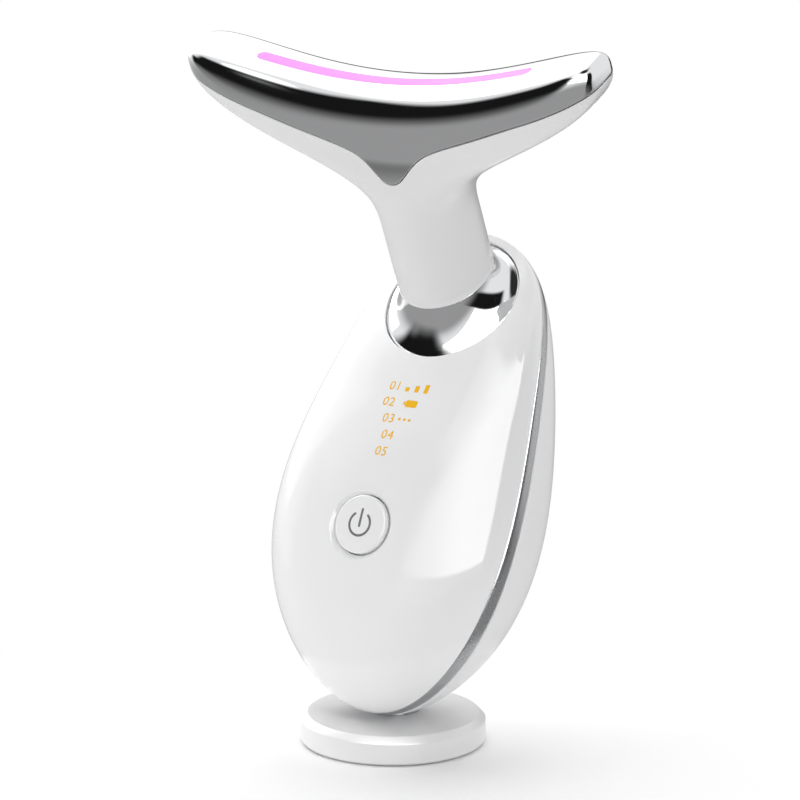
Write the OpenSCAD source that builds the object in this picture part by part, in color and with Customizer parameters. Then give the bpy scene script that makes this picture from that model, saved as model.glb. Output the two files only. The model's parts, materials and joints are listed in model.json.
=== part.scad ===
// Neck massager with a T-shaped contact head, an egg-shaped handle and a round magnetic stand.
// Millimetres. The stand rests on z = 0, its axis is the z axis, the button side faces -y.

/* [Parts] */
// Piece to show, or all of them

/* [Handle] */
// Length of the handle along its own axis
egg_len = 107; // [106:0.5:108]
// Half width before the belly is added
egg_half_w = 31.4; // [31:0.1:31.8]
// Depth in front of the widest line
egg_front = 14.9; // [14.6:0.1:15.2]
// Depth behind the widest line
egg_rear = 19; // [18.5:0.1:19.5]
// Lean of the handle back from upright
handle_lean = 23.2; // [22:0.1:24]
// Height of the handle's lower end above the table
egg_z = 8; // [7.9:0.1:8.2]
// Wall of the two shells
shell_wall = 2.2; // [2:0.1:2.3]
// Width of the silver band between the shells at the bottom
band_low = 2.6; // [2.2:0.1:3]
// Width of the silver band at the top
band_top = 1.5; // [1.3:0.1:1.8]
// Gap between the band and each shell
band_gap = 0.15; // [0.1:0.05:0.25]

/* [Button] */
// Radius of the button cap
button_r = 6.3; // [6:0.1:6.6]
// Play around the button cap
button_play = 0.25; // [0.15:0.05:0.4]
// Width of the shallow ring around the button
ring_w = 1.3; // [1:0.1:1.5]
// Height of the button along the handle
button_v = 37.4; // [36.5:0.1:38]

/* [Collar and neck] */
// Outer radius of the chrome collar
collar_r = 15.5; // [15:0.1:15.6]
// Radius of the neck at the collar
neck_r = 10.7; // [10.5:0.1:10.9]
// Radius of the bore through the neck
neck_bore = 8.5; // [8.4:0.05:8.6]
// Play between the neck core and the bores around it
core_play = 0.2; // [0.1:0.05:0.3]
// Lean of the neck towards the front
neck_lean = 24.2; // [23.6:0.2:25]

/* [Head] */
// Half span of the head
head_half = 50.8; // [50.2:0.2:51.4]
// Half depth of the head
head_depth = 9; // [8.8:0.1:9.3]
// Radius of the arc across the top of the head
head_arc = 112; // [109:1:115]
// Thickness of the chrome contact plate
plate_wall = 1.2; // [1:0.1:1.3]
// Half length of the light strip
strip_half = 34; // [32:0.5:36]
// Width of the light strip
strip_w = 2.6; // [2.2:0.1:3]

/* [Stand] */
// Radius of the stand
stand_r = 20; // [19.5:0.1:21]
// Height of the stand
stand_h = 6.4; // [6.3:0.05:6.45]
// Width of the chamfer on the stand's upper edge
stand_chamfer = 1.4; // [1:0.1:1.6]
// Thickness of the rubber foot
foot_t = 0.9; // [0.7:0.1:1]

/* [Hidden] */
$fn = 72;

white = [0.94, 0.94, 0.95];
chrome = [0.72, 0.73, 0.75];
silver = [0.6, 0.61, 0.63];
pearl = [0.86, 0.86, 0.88];
pink = [0.98, 0.67, 0.98];
amber = [0.93, 0.7, 0.14];
board_green = [0.1, 0.36, 0.22];
dark = [0.14, 0.14, 0.15];
steel = [0.66, 0.67, 0.69];

// Handle outline: half width, front depth and rear depth at a station t from 0 (bottom) to 180 (top).
egg_y = -8.6;
shell_rows = 26;
shell_cols = 20;
function sgn_pow(x, e) = sign(x)*pow(abs(x), e);
function ease(x) = let(c = min(1, max(0, x))) c*c*(3 - 2*c);
function scale_w(k) = 1 - k/egg_half_w;
function scale_f(k) = 1 - k/(1.34*egg_front);
function scale_b(k) = 1 - k/(0.99*egg_rear);
function egg_v(t, k = 0) = k + (egg_len - 2*k)/2*(1 - cos(t));
function egg_w(t, k = 0) = scale_w(k)*egg_half_w*sin(t)*(1 + 0.018*cos(t) + 0.022*cos(2*t)
    - 0.059*cos(3*t));
function shoulder(v) = v < 65 || v > egg_len ? 0 : 1.2*pow(sin(180*(v - 65)/(egg_len - 65)), 2);
function egg_f(t, k = 0) = max(0.0001, scale_f(k)*(egg_front*sin(t)*(1 + 0.8*cos(t) - 0.2*cos(2*t))
    + shoulder(egg_v(t, k))));
function egg_b(t, k = 0) = scale_b(k)*egg_rear*sin(t)*(1 + 0.4*cos(t) + 0.12*cos(2*t));
function front_pow(v) = 2.6 + 1.2*pow(v/egg_len, 2);
rear_pow = 1.9;

// Parting line in side view, as depth in front of the widest line at height v.
function parting(v) = let(q = v/egg_len - 0.5) 8.38 - 10.16*q - 37.2*q*q + 29.1*q*q*q;
function band(v) = band_low + (band_top - band_low)*v/egg_len;
function cut_front(v) = parting(v) + band_gap;
function cut_band(v) = parting(v);
function cut_back(v) = parting(v) - band(v);
function cut_rear(v) = parting(v) - band(v) - band_gap;
function cut(which, v) = which == 0 ? cut_front(v) : which == 1 ? cut_band(v)
    : which == 2 ? cut_back(v) : cut_rear(v);
function over(which, t, k) = let(n = cut(which, egg_v(t, k)))
    n >= 0 ? n/egg_f(t, k) : -n/egg_b(t, k);

// Station at which a cut line closes, found by halving between a and b.
function close_at(which, k, a, b, n = 22) = n == 0 ? (a + b)/2
    : let(m = (a + b)/2) over(which, m, k) >= 1 ? close_at(which, k, m, b, n - 1)
    : close_at(which, k, a, m, n - 1);
function edge_angle(which, t, k) = let(v = egg_v(t, k), n = cut(which, v))
    n >= 0 ? asin(min(1, pow(n/egg_f(t, k), front_pow(v)/2)))
    : -asin(min(1, pow(-n/egg_b(t, k), rear_pow/2)));

// Point of the handle's skin at station t and angle s (90 is the front), sunk by k.
function skin(t, s, k) = let(v = egg_v(t, k), front = sin(s) > 0, p = front ? front_pow(v) : rear_pow)
    [egg_w(t, k)*sgn_pow(cos(s), 2/p), -(front ? egg_f(t, k) : egg_b(t, k))*sgn_pow(sin(s), 2/p), v];

function quads(a, b) = [[a[0], b[1], a[1]], [a[0], b[0], b[1]]];

// Front shell skin as rows from the lower end to the upper end, closed by a cap at the top pole.
function front_rows(k) = let(t0 = close_at(0, k, 0.01, 40), t1 = close_at(0, k, 179.99, 140))
    [for (i = [1:shell_rows]) let(t = t0 + (t1 - t0)*(1 - cos(180*i/shell_rows))/2,
        a = i == shell_rows ? -90 : edge_angle(0, t, k))
        [for (j = [0:shell_cols]) let(p = skin(t, a + (180 - 2*a)*j/shell_cols, k))
            i == shell_rows && (j == 0 || j == shell_cols) ? [0, p[1], p[2]] : p]];
function rear_rows(k) = let(t0 = close_at(3, k, 0.01, 40), t1 = close_at(3, k, 179.99, 140))
    [for (i = [1:shell_rows - 1]) let(t = t0 + (t1 - t0)*(1 - cos(180*i/shell_rows))/2,
        a = edge_angle(3, t, k))
        [for (j = [0:shell_cols]) skin(t, -180 - a + (180 + 2*a)*j/shell_cols, k)]];

// Closed solid between two skins given as rows, with one point at the start and one at the end.
// A joined solid has its last row closed to a full ring, capped by the end point.
module skin_solid(outer, inner, start_o, end_o, start_i, end_i, joined = false) {
    nr = len(outer);
    nc = len(outer[0]);
    base = nr*nc + (joined ? 1 : 2);
    function o(i, j) = 1 + i*nc + (joined && i == nr - 1 && j == nc - 1 ? 0 : j);
    function n(i, j) = base + o(i, j);
    eo = base - 1;
    ei = 2*base - 1;
    function rows(s) = [for (i = [0:nr - 1]) for (j = [0:nc - 1])
        if (!(joined && i == nr - 1 && j == nc - 1)) s[i][j]];
    ends = joined ? [] : [[o(nr - 1, 0), ei, n(nr - 1, 0)], [o(nr - 1, 0), eo, ei],
        [n(nr - 1, nc - 1), ei, o(nr - 1, nc - 1)], [ei, eo, o(nr - 1, nc - 1)]];
    faces = concat(ends,
        [for (j = [0:nc - 2]) [0, o(0, j + 1), o(0, j)]],
        [for (i = [0:nr - 2]) for (j = [0:nc - 2])
            each quads([o(i, j), o(i + 1, j)], [o(i, j + 1), o(i + 1, j + 1)])],
        [for (j = [0:nc - 2]) [o(nr - 1, j), o(nr - 1, j + 1), eo]],
        [for (j = [0:nc - 2]) [base, n(0, j), n(0, j + 1)]],
        [for (i = [0:nr - 2]) for (j = [0:nc - 2])
            each quads([n(i, j + 1), n(i + 1, j + 1)], [n(i, j), n(i + 1, j)])],
        [for (j = [0:nc - 2]) [n(nr - 1, j + 1), n(nr - 1, j), ei]],
        [[0, n(0, 0), base], [0, o(0, 0), n(0, 0)]],
        [for (i = [0:nr - 2]) each quads([o(i, 0), n(i, 0)], [o(i + 1, 0), n(i + 1, 0)])],
        [[base, n(0, nc - 1), 0], [n(0, nc - 1), o(0, nc - 1), 0]],
        [for (i = [0:nr - 2])
            each quads([n(i, nc - 1), o(i, nc - 1)], [n(i + 1, nc - 1), o(i + 1, nc - 1)])]);
    polyhedron(points = concat([start_o], rows(outer), [end_o], [start_i], rows(inner), [end_i]),
        faces = faces, convexity = 6);
}

// Places: the handle's own axis, the collar's seat, the button, the neck and head.
module in_handle() translate([0, egg_y, egg_z]) rotate([-handle_lean, 0, 0]) children();
seat_drop = 16.4;
seat_inset = 1.0253;
seat_v = egg_len - seat_drop;
seat_n = egg_f(acos(1 - 2*seat_v/egg_len)) - seat_inset;
seat_tilt = 21;
module on_seat() in_handle() translate([0, -seat_n, seat_v]) rotate([90 - seat_tilt, 0, 0]) children();
neck_cut = 12;
neck_low = -47.2;
collar_h = 5.8819;
top_shift = 2.7043;
neck_gap = 0.15;
collar_lean = 90 - seat_tilt - handle_lean;
neck_dy = top_shift*cos(collar_lean) - (collar_h + neck_gap)*sin(collar_lean);
neck_dz = top_shift*sin(collar_lean) + (collar_h + neck_gap)*cos(collar_lean);
head_y = neck_dy + neck_low*sin(neck_lean) + egg_y - seat_n*cos(handle_lean) + seat_v*sin(handle_lean);
head_z = neck_dz - neck_low*cos(neck_lean) + egg_z + seat_n*sin(handle_lean) + seat_v*cos(handle_lean);
module in_head() translate([0, head_y, head_z]) rotate([neck_lean, 0, 0]) children();
button_n = egg_f(acos(1 - 2*button_v/egg_len));
module at_button() in_handle() translate([0, -button_n, button_v]) rotate([90, 0, 0]) children();
show_drop = 29.1;
show_v = seat_v - show_drop;
show_h = 16.6;
show_low = show_v - show_h/2;
main_high = show_low - 2.2;

// Contact head: level u is the height of the outline at the wing's end.
rim_u = 3.2;
head_rows = 12;
head_cols = 80;
cap_rows = 6;
wing_low = -32;
function wing(u) = let(c = min(1, max(0, (u - wing_low)/(rim_u - wing_low))))
    pow(1 - pow(1 - c, 2), 3.1);
function lev_a(u) = neck_r + (head_half - neck_r)*wing(u);
function lev_d(u) = neck_r + (head_depth - neck_r)*ease((u + 26)/22);
function lev_p(u, s) = 2 + (s < 0 ? 1.92 : 3)*ease((u + 25.6)/20);
function lev_bend(u) = ease((u + 40)/12)/(2*head_arc);
function lev_tilt(u) = tan(neck_cut)*(1 - ease((u + 47)/14));
function lev_h(u) = u - lev_bend(u)*lev_a(u)*lev_a(u);
function round_off(q, p) = pow(max(0, 1 - pow(abs(q), p)), 1/p);
function head_pt(u, q, side, k, up = 0) = let(p = lev_p(u, side), x = (lev_a(u) - k)*q,
    g = side*(lev_d(u) - k)*round_off(q, p)) [x, g, lev_h(u) + lev_bend(u)*x*x + lev_tilt(u)*g + up];
rim_h = lev_h(rim_u);
tongue_len = 7.9;
tongue_half = 11.5;
function seam_drop(x, g) = 1 + 2.5*max(0, 1 - pow(x/30, 2))
    + (g < 0 ? tongue_len*(1 - ease(abs(x)/tongue_half)) : 0);
function seam_u(x, g, a = -40, b = rim_u, n = 20) = n == 0 ? (a + b)/2
    : let(m = (a + b)/2) lev_h(m) > rim_h - seam_drop(x, g) ? seam_u(x, g, a, m, n - 1)
    : seam_u(x, g, m, b, n - 1);

// Columns of the head, placed by where they cross the seam, closest together at the tongue.
// A column's place at a level is its share of the outline's half width there.
function col_f(j) = abs(90 - (360*j/head_cols)%180)/90;
function col_sign(j) = let(a = 360*j/head_cols) a > 90 && a < 270 ? -1 : 1;
function col_x(j) = head_half*sin(90*pow(col_f(j), 1.4));
function col_side(j) = 2*j < head_cols ? 1 : -1;
seam_levels = [for (j = [0:head_cols - 1]) seam_u(col_x(j), col_side(j))];
seam_share = [for (j = [0:head_cols - 1]) min(1, col_x(j)/lev_a(seam_levels[j]))];
col_keep = [for (j = [0:head_cols - 1]) 1 - ease((seam_share[j] - 0.35)/0.4)];
function low_share(j, f, u) = let(start = sin(90*col_f(j)), keep = col_keep[j],
    x = neck_r*start + (col_x(j) - neck_r*start)*pow(f, 1.6))
    col_sign(j)*(keep*min(1, x/lev_a(u)) + (1 - keep)*(start + (seam_share[j] - start)*f));
function high_share(j, u) = col_sign(j)*(col_keep[j]*min(1, col_x(j)/lev_a(u))
    + (1 - col_keep[j])*seam_share[j]);
crown = 7.9;
function cap_pow(c) = 2.71 + 0.75*c;
function cap_pt(r, q, side, k) = let(p = lev_p(rim_u, side), x = r*(head_half - k)*q,
    g = side*r*(head_depth - k)*round_off(q, p), n = cap_pow(pow(abs(q), p)))
    [x, g, rim_h + x*x/(2*head_arc) + (crown - k)*pow(1 - pow(r, n), 1/n)];

// Solid between two skins of closed rings, joined at the upper rim and closed flat below.
module ring_solid(outer, inner) {
    nr = len(outer);
    nc = len(outer[0]);
    function o(i, j) = i*nc + j%nc;
    function n(i, j) = (nr + i)*nc + j%nc;
    faces = concat(
        [for (i = [0:nr - 2]) for (j = [0:nc - 1])
            each quads([o(i, j), o(i, j + 1)], [o(i + 1, j), o(i + 1, j + 1)])],
        [for (i = [0:nr - 2]) for (j = [0:nc - 1])
            each quads([n(i, j + 1), n(i, j)], [n(i + 1, j + 1), n(i + 1, j)])],
        [[for (j = [0:nc - 1]) o(0, j)]],
        [[for (j = [nc - 1:-1:0]) n(0, j)]],
        [for (j = [0:nc - 1])
            each quads([o(nr - 1, j), o(nr - 1, j + 1)], [n(nr - 1, j), n(nr - 1, j + 1)])]);
    polyhedron(points = [for (r = concat(outer, inner)) each r], faces = faces, convexity = 6);
}

// Bowl-like solid between two skins of rings that each end in one top point.
module cap_solid(outer, inner, top_o, top_i) {
    nr = len(outer);
    nc = len(outer[0]);
    function o(i, j) = i*nc + j%nc;
    function n(i, j) = (nr + i)*nc + j%nc;
    to = 2*nr*nc;
    faces = concat(
        [for (i = [0:nr - 2]) for (j = [0:nc - 1])
            each quads([o(i, j), o(i, j + 1)], [o(i + 1, j), o(i + 1, j + 1)])],
        [for (i = [0:nr - 2]) for (j = [0:nc - 1])
            each quads([n(i, j + 1), n(i, j)], [n(i + 1, j + 1), n(i + 1, j)])],
        [for (j = [0:nc - 1]) each quads([n(0, j), n(0, j + 1)], [o(0, j), o(0, j + 1)])],
        [for (j = [0:nc - 1]) [o(nr - 1, j), to, o(nr - 1, j + 1)]],
        [for (j = [0:nc - 1]) [n(nr - 1, j + 1), to + 1, n(nr - 1, j)]]);
    polyhedron(points = concat([for (r = concat(outer, inner)) each r], [top_o, top_i]),
        faces = faces, convexity = 6);
}

seam_gap = 0.25;

// White housing of the head with the neck, hollow above the bore for the neck core.
housing_wall = neck_r - neck_bore + 0.3;
core_top = -34;
hollow_low = core_top - 2.5;
function housing_row(i, k, lift, low) = let(f = pow(i/head_rows, 0.75))
    [for (j = [0:head_cols - 1]) let(u = low + (seam_levels[j] - low)*f)
        head_pt(u, low_share(j, f, u), col_side(j), k, lift*ease((u + 34)/16)*(1 - pow(f, 4)))];
module head_housing() color(white) in_head() difference() {
    ring_solid([for (i = [0:head_rows]) housing_row(i, 0, 0, neck_low)],
        [for (i = [0:head_rows]) housing_row(i, housing_wall, housing_wall, hollow_low)]);
    translate([0, 0, neck_low - 5])
        cylinder(r = neck_bore, h = core_top + 0.3 - neck_low + 5);
}

// Chrome contact plate with the slot for the light strip.
rim_rows = 7;
function rim_ring(i, k) = [for (j = [0:head_cols - 1]) let(f = i/rim_rows,
    u = seam_levels[j] + (rim_u - seam_levels[j])*f)
    head_pt(u, high_share(j, u), col_side(j), k, seam_gap*(1 - f))];
function cap_ring(i, k) = [for (j = [0:head_cols - 1])
    cap_pt(cos(90*i/cap_rows), high_share(j, rim_u), col_side(j), k)];
function plate_rings(k) = concat([for (i = [0:rim_rows]) rim_ring(i, k)],
    [for (i = [1:cap_rows - 1]) cap_ring(i, k)]);
strip_play = 0.15;
strip_low = rim_h + crown - plate_wall - 2.4;
module contact_plate() color(chrome) in_head() difference() {
    cap_solid(plate_rings(0), plate_rings(plate_wall),
        [0, 0, rim_h + crown], [0, 0, rim_h + crown - plate_wall]);
    strip_slot(strip_w + 2*strip_play, strip_half + strip_play, strip_low, 20);
}
module strip_slot(w, half, z0, z1) translate([0, 0, z0]) linear_extrude(z1 - z0) {
    square([2*half - w, w], center = true);
    for (x = [-1, 1])
        translate([x*(half - w/2), 0])
            circle(d = w);
}

// Pieces that follow the arc of the head's top, drawn as part of a ring about the arc's centre.
strip_rise = strip_half*strip_half/(2*head_arc)
    - crown*(1 - pow(1 - pow(strip_half/head_half, cap_pow(1)), 1/cap_pow(1)));
arc_top = (strip_half*strip_half + strip_rise*strip_rise)/(2*strip_rise);
arc_z = rim_h + crown + arc_top;
module on_arc(half, r, w, t) translate([0, 0, arc_z]) rotate([90, 0, 0])
    rotate([0, 0, -90 - asin(half/r)]) rotate_extrude(angle = 2*asin(half/r), $fn = 180)
        translate([r, -w/2])
            square([t, w]);
module light_strip() color(pink) in_head() intersection() {
    on_arc(strip_half + 2, arc_top, strip_w, 3);
    strip_slot(strip_w, strip_half, strip_low - 2, 20);
}
led_t = 1;
led_step = asin((strip_half - 6)/arc_top)/3;
board_t = 0.8;
module led_board() color(board_green) in_head()
    on_arc(strip_half - 2, arc_top + 3.3 + led_t, 6, board_t);
module head_leds() color(amber) in_head() translate([0, 0, arc_z])
    for (i = [-3:3])
        rotate([0, i*led_step, 0])
            translate([-1.4, -1.4, -(arc_top + 3.2 + led_t)])
                cube([2.8, 2.8, led_t]);
film_t = 0.4;
film_y = 4.2;
film_n = 3.1;
module heater_film() color(dark) in_head()
    for (y = [-film_y, film_y])
        translate([0, y, 0])
            on_arc(strip_half - 4, arc_top + film_n, 2.4, film_t);
module thermistor() color(dark) in_head() translate([0, -film_y, arc_z - (arc_top + film_n + film_t + 1.3)])
    rotate([0, 90, 0])
        cylinder(r = 1, h = 3.5, center = true, $fn = 32);

// Neck: core tube, its screws and the vibration motor.
core_r = neck_bore - core_play;
core_bore = 6.9;
core_low = -60.5;
core_lip = 12;
core_lip_t = 1;
neck_screw_x = 10.4;
neck_screw_r = 0.65;
module neck_core() color(silver) difference() {
    union() {
        in_head() translate([0, 0, core_low])
            cylinder(r = core_r, h = core_top - core_low);
        on_seat() translate([0, 0, lip_n - core_lip_t])
            cylinder(r = core_lip, h = core_lip_t);
    }
    in_head() translate([0, 0, core_low - 1])
        cylinder(r = core_bore, h = core_top - core_low + 2);
    on_seat() translate([0, 0, lip_n - core_lip_t - 12])
        cylinder(r = 24, h = 12);
    on_seat() for (x = [-neck_screw_x, neck_screw_x])
        translate([x, 0, lip_n - 3])
            cylinder(r = neck_screw_r + 0.1, h = 6, $fn = 32);
}
module neck_screws() color(steel) on_seat() for (x = [-neck_screw_x, neck_screw_x])
    translate([x, 0, lip_n - core_lip_t - 0.1]) {
        translate([0, 0, -0.7])
            cylinder(r = 1.3, h = 0.7, $fn = 32);
        translate([0, 0, -0.01])
            cylinder(r = neck_screw_r, h = core_lip_t + 1.6, $fn = 32);
    }
motor_r = 4;
motor_low = -46;
motor_len = 16;
shaft_r = 0.75;
shaft_fit = 0.05;
sleeve_play = 0.1;
module motor_can() color(steel) in_head() difference() {
    union() {
        translate([0, 0, motor_low])
            cylinder(r = motor_r, h = motor_len);
        translate([0, 0, motor_low + motor_len - 0.01])
            cylinder(r = 1.8, h = 0.81);
    }
    translate([0, 0, motor_low + 3])
        cylinder(r = shaft_r + shaft_fit, h = motor_len);
}
module motor_sleeve() color(dark) in_head() difference() {
    translate([0, 0, motor_low - 1])
        cylinder(r = core_bore - sleeve_play, h = motor_len);
    translate([0, 0, motor_low - 2])
        cylinder(r = motor_r + sleeve_play, h = motor_len + 2);
}
module motor_rotor() color(silver) in_head() {
    translate([0, 0, motor_low + 3.3])
        cylinder(r = shaft_r, h = motor_len + 4);
    translate([0, 0, motor_low + motor_len + 1.2])
        rotate_extrude(angle = 180)
            square([5.2, 5]);
}

// Chrome collar that flares from the neck to the handle.
flare_rows = 8;
flare_cols = 48;
collar_lip = 0.6;
skirt_r = 12.3;
skirt_h = 1.9;
lip_n = -collar_lip - skirt_h - 0.1;
top_slope = neck_cut + neck_lean - collar_lean;
function flare_ring(s) = let(e = 1 - cos(90*s), r = collar_r + (neck_r - collar_r)*sin(90*s))
    [for (j = [0:flare_cols - 1]) let(a = 360*j/flare_cols, x = r*cos(a), y = r*sin(a))
        [x, y + top_shift*e, collar_h*e + y*tan(top_slope)*e]];
module flare_solid() {
    bottom = [for (j = [0:flare_cols - 1]) let(a = 360*j/flare_cols)
        [collar_r*cos(a), collar_r*sin(a), -collar_lip]];
    rings = concat([bottom], [for (i = [0:flare_rows]) flare_ring(i/flare_rows)]);
    nr = len(rings);
    nc = flare_cols;
    function o(i, j) = i*nc + j%nc;
    faces = concat(
        [for (i = [0:nr - 2]) for (j = [0:nc - 1])
            each quads([o(i, j), o(i, j + 1)], [o(i + 1, j), o(i + 1, j + 1)])],
        [[for (j = [0:nc - 1]) o(0, j)]],
        [[for (j = [nc - 1:-1:0]) o(nr - 1, j)]]);
    polyhedron(points = [for (r = rings) each r], faces = faces, convexity = 4);
}
module collar() color(chrome) difference() {
    on_seat() {
        flare_solid();
        translate([0, 0, -collar_lip - skirt_h])
            cylinder(r = skirt_r, h = skirt_h + 0.01);
    }
    in_head() translate([0, 0, core_low])
        cylinder(r = core_r + core_play, h = 40);
    on_seat() for (x = [-neck_screw_x, neck_screw_x])
        translate([x, 0, -collar_lip - skirt_h - 1])
            cylinder(r = neck_screw_r + 0.1, h = 2.9, $fn = 32);
}

// Front shell with the collar's seat, the button's hole and the posts for the board.
seat_play = 0.25;
seat_depth = 0.9;
post_x = 11.5;
post_low = 24;
post_high = main_high - 3;
post_r = 2.2;
function post_h(v) = 0.97*egg_f(acos(1 - 2*v/egg_len)) - board_n - 1;
board_n = 12.6;
screw_r = 0.9;
module front_shell() color(white) difference() {
    union() {
        in_handle()
            skin_solid(front_rows(0), front_rows(shell_wall),
                [0, skin(close_at(0, 0, 0.01, 40), 90, 0)[1], egg_v(close_at(0, 0, 0.01, 40))],
                [0, 0, egg_len],
                [0, skin(close_at(0, shell_wall, 0.01, 40), 90, shell_wall)[1],
                    egg_v(close_at(0, shell_wall, 0.01, 40), shell_wall)],
                [0, 0, egg_len - shell_wall], joined = true);
        in_handle()
            for (x = [-post_x, post_x], v = [post_low, post_high])
                translate([x, -board_n, v])
                    rotate([90, 0, 0])
                        cylinder(r = post_r, h = post_h(v), $fn = 32);
    }
    on_seat() {
        translate([0, 0, -seat_depth])
            cylinder(r = collar_r + seat_play, h = 12);
        translate([0, 0, -8])
            cylinder(r = skirt_r + seat_play, h = 12);
    }
    at_button() {
        translate([0, 0, -8])
            cylinder(r = button_r + button_play, h = 16);
        translate([0, 0, -0.5])
            cylinder(r1 = button_r + button_play, r2 = button_r + ring_w + 0.6, h = 1);
    }
    in_handle()
        for (x = [-post_x, post_x], v = [post_low, post_high])
            translate([x, -board_n + 0.1, v])
                rotate([90, 0, 0])
                    cylinder(r = screw_r, h = post_h(v) - 0.9, $fn = 32);
}

// Silver band between the shells.
trim_t = 1.7;
loop_n = 40;
function loop_side(which, k, side) = let(t0 = close_at(which, k, 0.01, 40),
    t1 = close_at(which, k, 179.99, 140))
    [for (i = [0:loop_n - 1]) let(f = side > 0 ? i/loop_n : 1 - i/loop_n,
        t = t0 + (t1 - t0)*(1 - cos(180*f))/2,
        a = f == 0 ? (cut(which, egg_v(t, k)) > 0 ? 90 : -90) : f == 1 ? -90 : edge_angle(which, t, k),
        p = skin(t, a, k)) [f == 0 || f == 1 ? 0 : side*p[0], p[1], p[2]]];
function loop(which, k) = concat(loop_side(which, k, 1), loop_side(which, k, -1));
trim_sink = 0.05;
trim_rings = [loop(1, trim_sink), loop(2, trim_sink), loop(2, trim_t), loop(1, trim_t)];
function trim_id(i, j) = (i%4)*2*loop_n + j%(2*loop_n);
module trim_band() color(silver) in_handle()
    polyhedron(points = [for (r = trim_rings) each r],
        faces = [for (i = [0:3]) for (j = [0:2*loop_n - 1])
            each quads([trim_id(i, j), trim_id(i + 1, j)], [trim_id(i, j + 1), trim_id(i + 1, j + 1)])],
        convexity = 6);

// Rear shell with the charging slot and the seat of the steel plate.
port_v = 30;
port_w = 9.1;
port_h = 3.4;
port_slot = 0.15;
plate_r = 5;
plate_y = 1.5;
plate_t = 1.2;
plate_gap = 0.15;
module rounded_bar(w, h, len) rotate([-90, 0, 0]) linear_extrude(len) {
    square([w - h, h], center = true);
    for (x = [-1, 1])
        translate([x*(w - h)/2, 0])
            circle(d = h, $fn = 32);
}
module rear_shell() color(white) difference() {
    in_handle()
        skin_solid(rear_rows(0), rear_rows(shell_wall),
            [0, skin(close_at(3, 0, 0.01, 40), -90, 0)[1], egg_v(close_at(3, 0, 0.01, 40))],
            [0, skin(close_at(3, 0, 179.99, 140), -90, 0)[1], egg_v(close_at(3, 0, 179.99, 140))],
            [0, skin(close_at(3, shell_wall, 0.01, 40), -90, shell_wall)[1],
                egg_v(close_at(3, shell_wall, 0.01, 40), shell_wall)],
            [0, skin(close_at(3, shell_wall, 179.99, 140), -90, shell_wall)[1],
                egg_v(close_at(3, shell_wall, 179.99, 140), shell_wall)]);
    in_handle() translate([0, 0, port_v])
        rounded_bar(port_w + 2*port_slot, port_h + 2*port_slot, 40);
    translate([0, plate_y, 0])
        cylinder(r = plate_r + plate_gap, h = stand_h + 0.2 + plate_t);
}
module dock_plate() color(steel) translate([0, plate_y, stand_h + 0.1])
    cylinder(r = plate_r, h = plate_t);

// Button and switch.
cap_sink = 0.3;
lip_sink = 2.9;
lip_t = 1;
lip_r = button_r + 1.5;
travel = 0.5;
switch_h = 2.2;
plunger_rise = 0.7;
stem_end = button_n - board_n - switch_h - plunger_rise - 0.1;
module power_button() color(white) at_button() {
    translate([0, 0, -lip_sink - lip_t])
        cylinder(r = button_r, h = lip_sink + lip_t - cap_sink);
    translate([0, 0, -lip_sink - lip_t])
        cylinder(r = lip_r, h = lip_t);
    translate([0, 0, -stem_end])
        cylinder(r = 1.5, h = stem_end - lip_sink, $fn = 32);
}
module switch_body() color(dark) in_handle() translate([0, -board_n, button_v]) difference() {
    translate([-3, -switch_h, -3])
        cube([6, switch_h, 6]);
    translate([0, -switch_h + 1.5, 0])
        rotate([90, 0, 0])
            cylinder(r = 1.65, h = 5, $fn = 32);
}
module switch_plunger() color(steel) in_handle()
    translate([0, -board_n - switch_h - plunger_rise, button_v])
        rotate([-90, 0, 0])
            cylinder(r = 1.6, h = plunger_rise + 0.8, $fn = 32);

// Boards.
main_w = 28;
main_low = 20;
module main_board() color(board_green) in_handle() difference() {
    translate([-main_w/2, -board_n + 0.1, main_low])
        cube([main_w, 1, main_high - main_low]);
    for (x = [-post_x, post_x], v = [post_low, post_high])
        translate([x, -board_n + 5, v])
            rotate([90, 0, 0])
                cylinder(r = screw_r + 0.1, h = 10, $fn = 32);
}
battery_t = 8;
battery_w = 24;
module board_screws() color(steel) in_handle()
    for (x = [-post_x, post_x], v = [post_low, post_high])
        translate([x, -board_n + 1.2, v])
            rotate([90, 0, 0]) {
                translate([0, 0, -0.9])
                    cylinder(r = 1.6, h = 0.9, $fn = 32);
                cylinder(r = screw_r - 0.1, h = post_h(v), $fn = 32);
            }
module board_chips() color(dark) in_handle() translate([0, -board_n - 0.1, 0]) {
    translate([-9, -1.1, main_high - 9])
        cube([5.5, 1.1, 7]);
    translate([3.5, -1.1, main_high - 9])
        cube([5, 1.1, 4]);
    translate([-2, -1.4, main_low + 3])
        cube([4, 1.4, 6]);
}

// Display behind the front shell.
show_tilt = -15.5;
show_sink = 2.9;
show_w = 20;
show_n = egg_f(acos(1 - 2*show_v/egg_len));
module at_display() in_handle() translate([0, -show_n, show_v]) rotate([show_tilt, 0, 0]) children();
module display_guide() color(white) at_display() difference() {
    translate([-show_w/2, show_sink, -show_h/2])
        cube([show_w, 2.2, show_h]);
    for (i = [-2:2])
        translate([-show_w/2 + 2, show_sink - 1, i*3.2 - 1])
            cube([show_w - 4, 5, 2]);
}
module display_leds() color(amber) at_display()
    for (i = [-2:2], x = i > 0 ? [-5, 5] : [-3])
        translate([x - 0.8, show_sink + 1.4, i*3.2 - 0.6])
            cube([1.6, 0.7, 1.2]);
module display_board() color(board_green) at_display()
    translate([-show_w/2, show_sink + 2.3, -show_h/2])
        cube([show_w, 0.8, show_h]);

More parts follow.
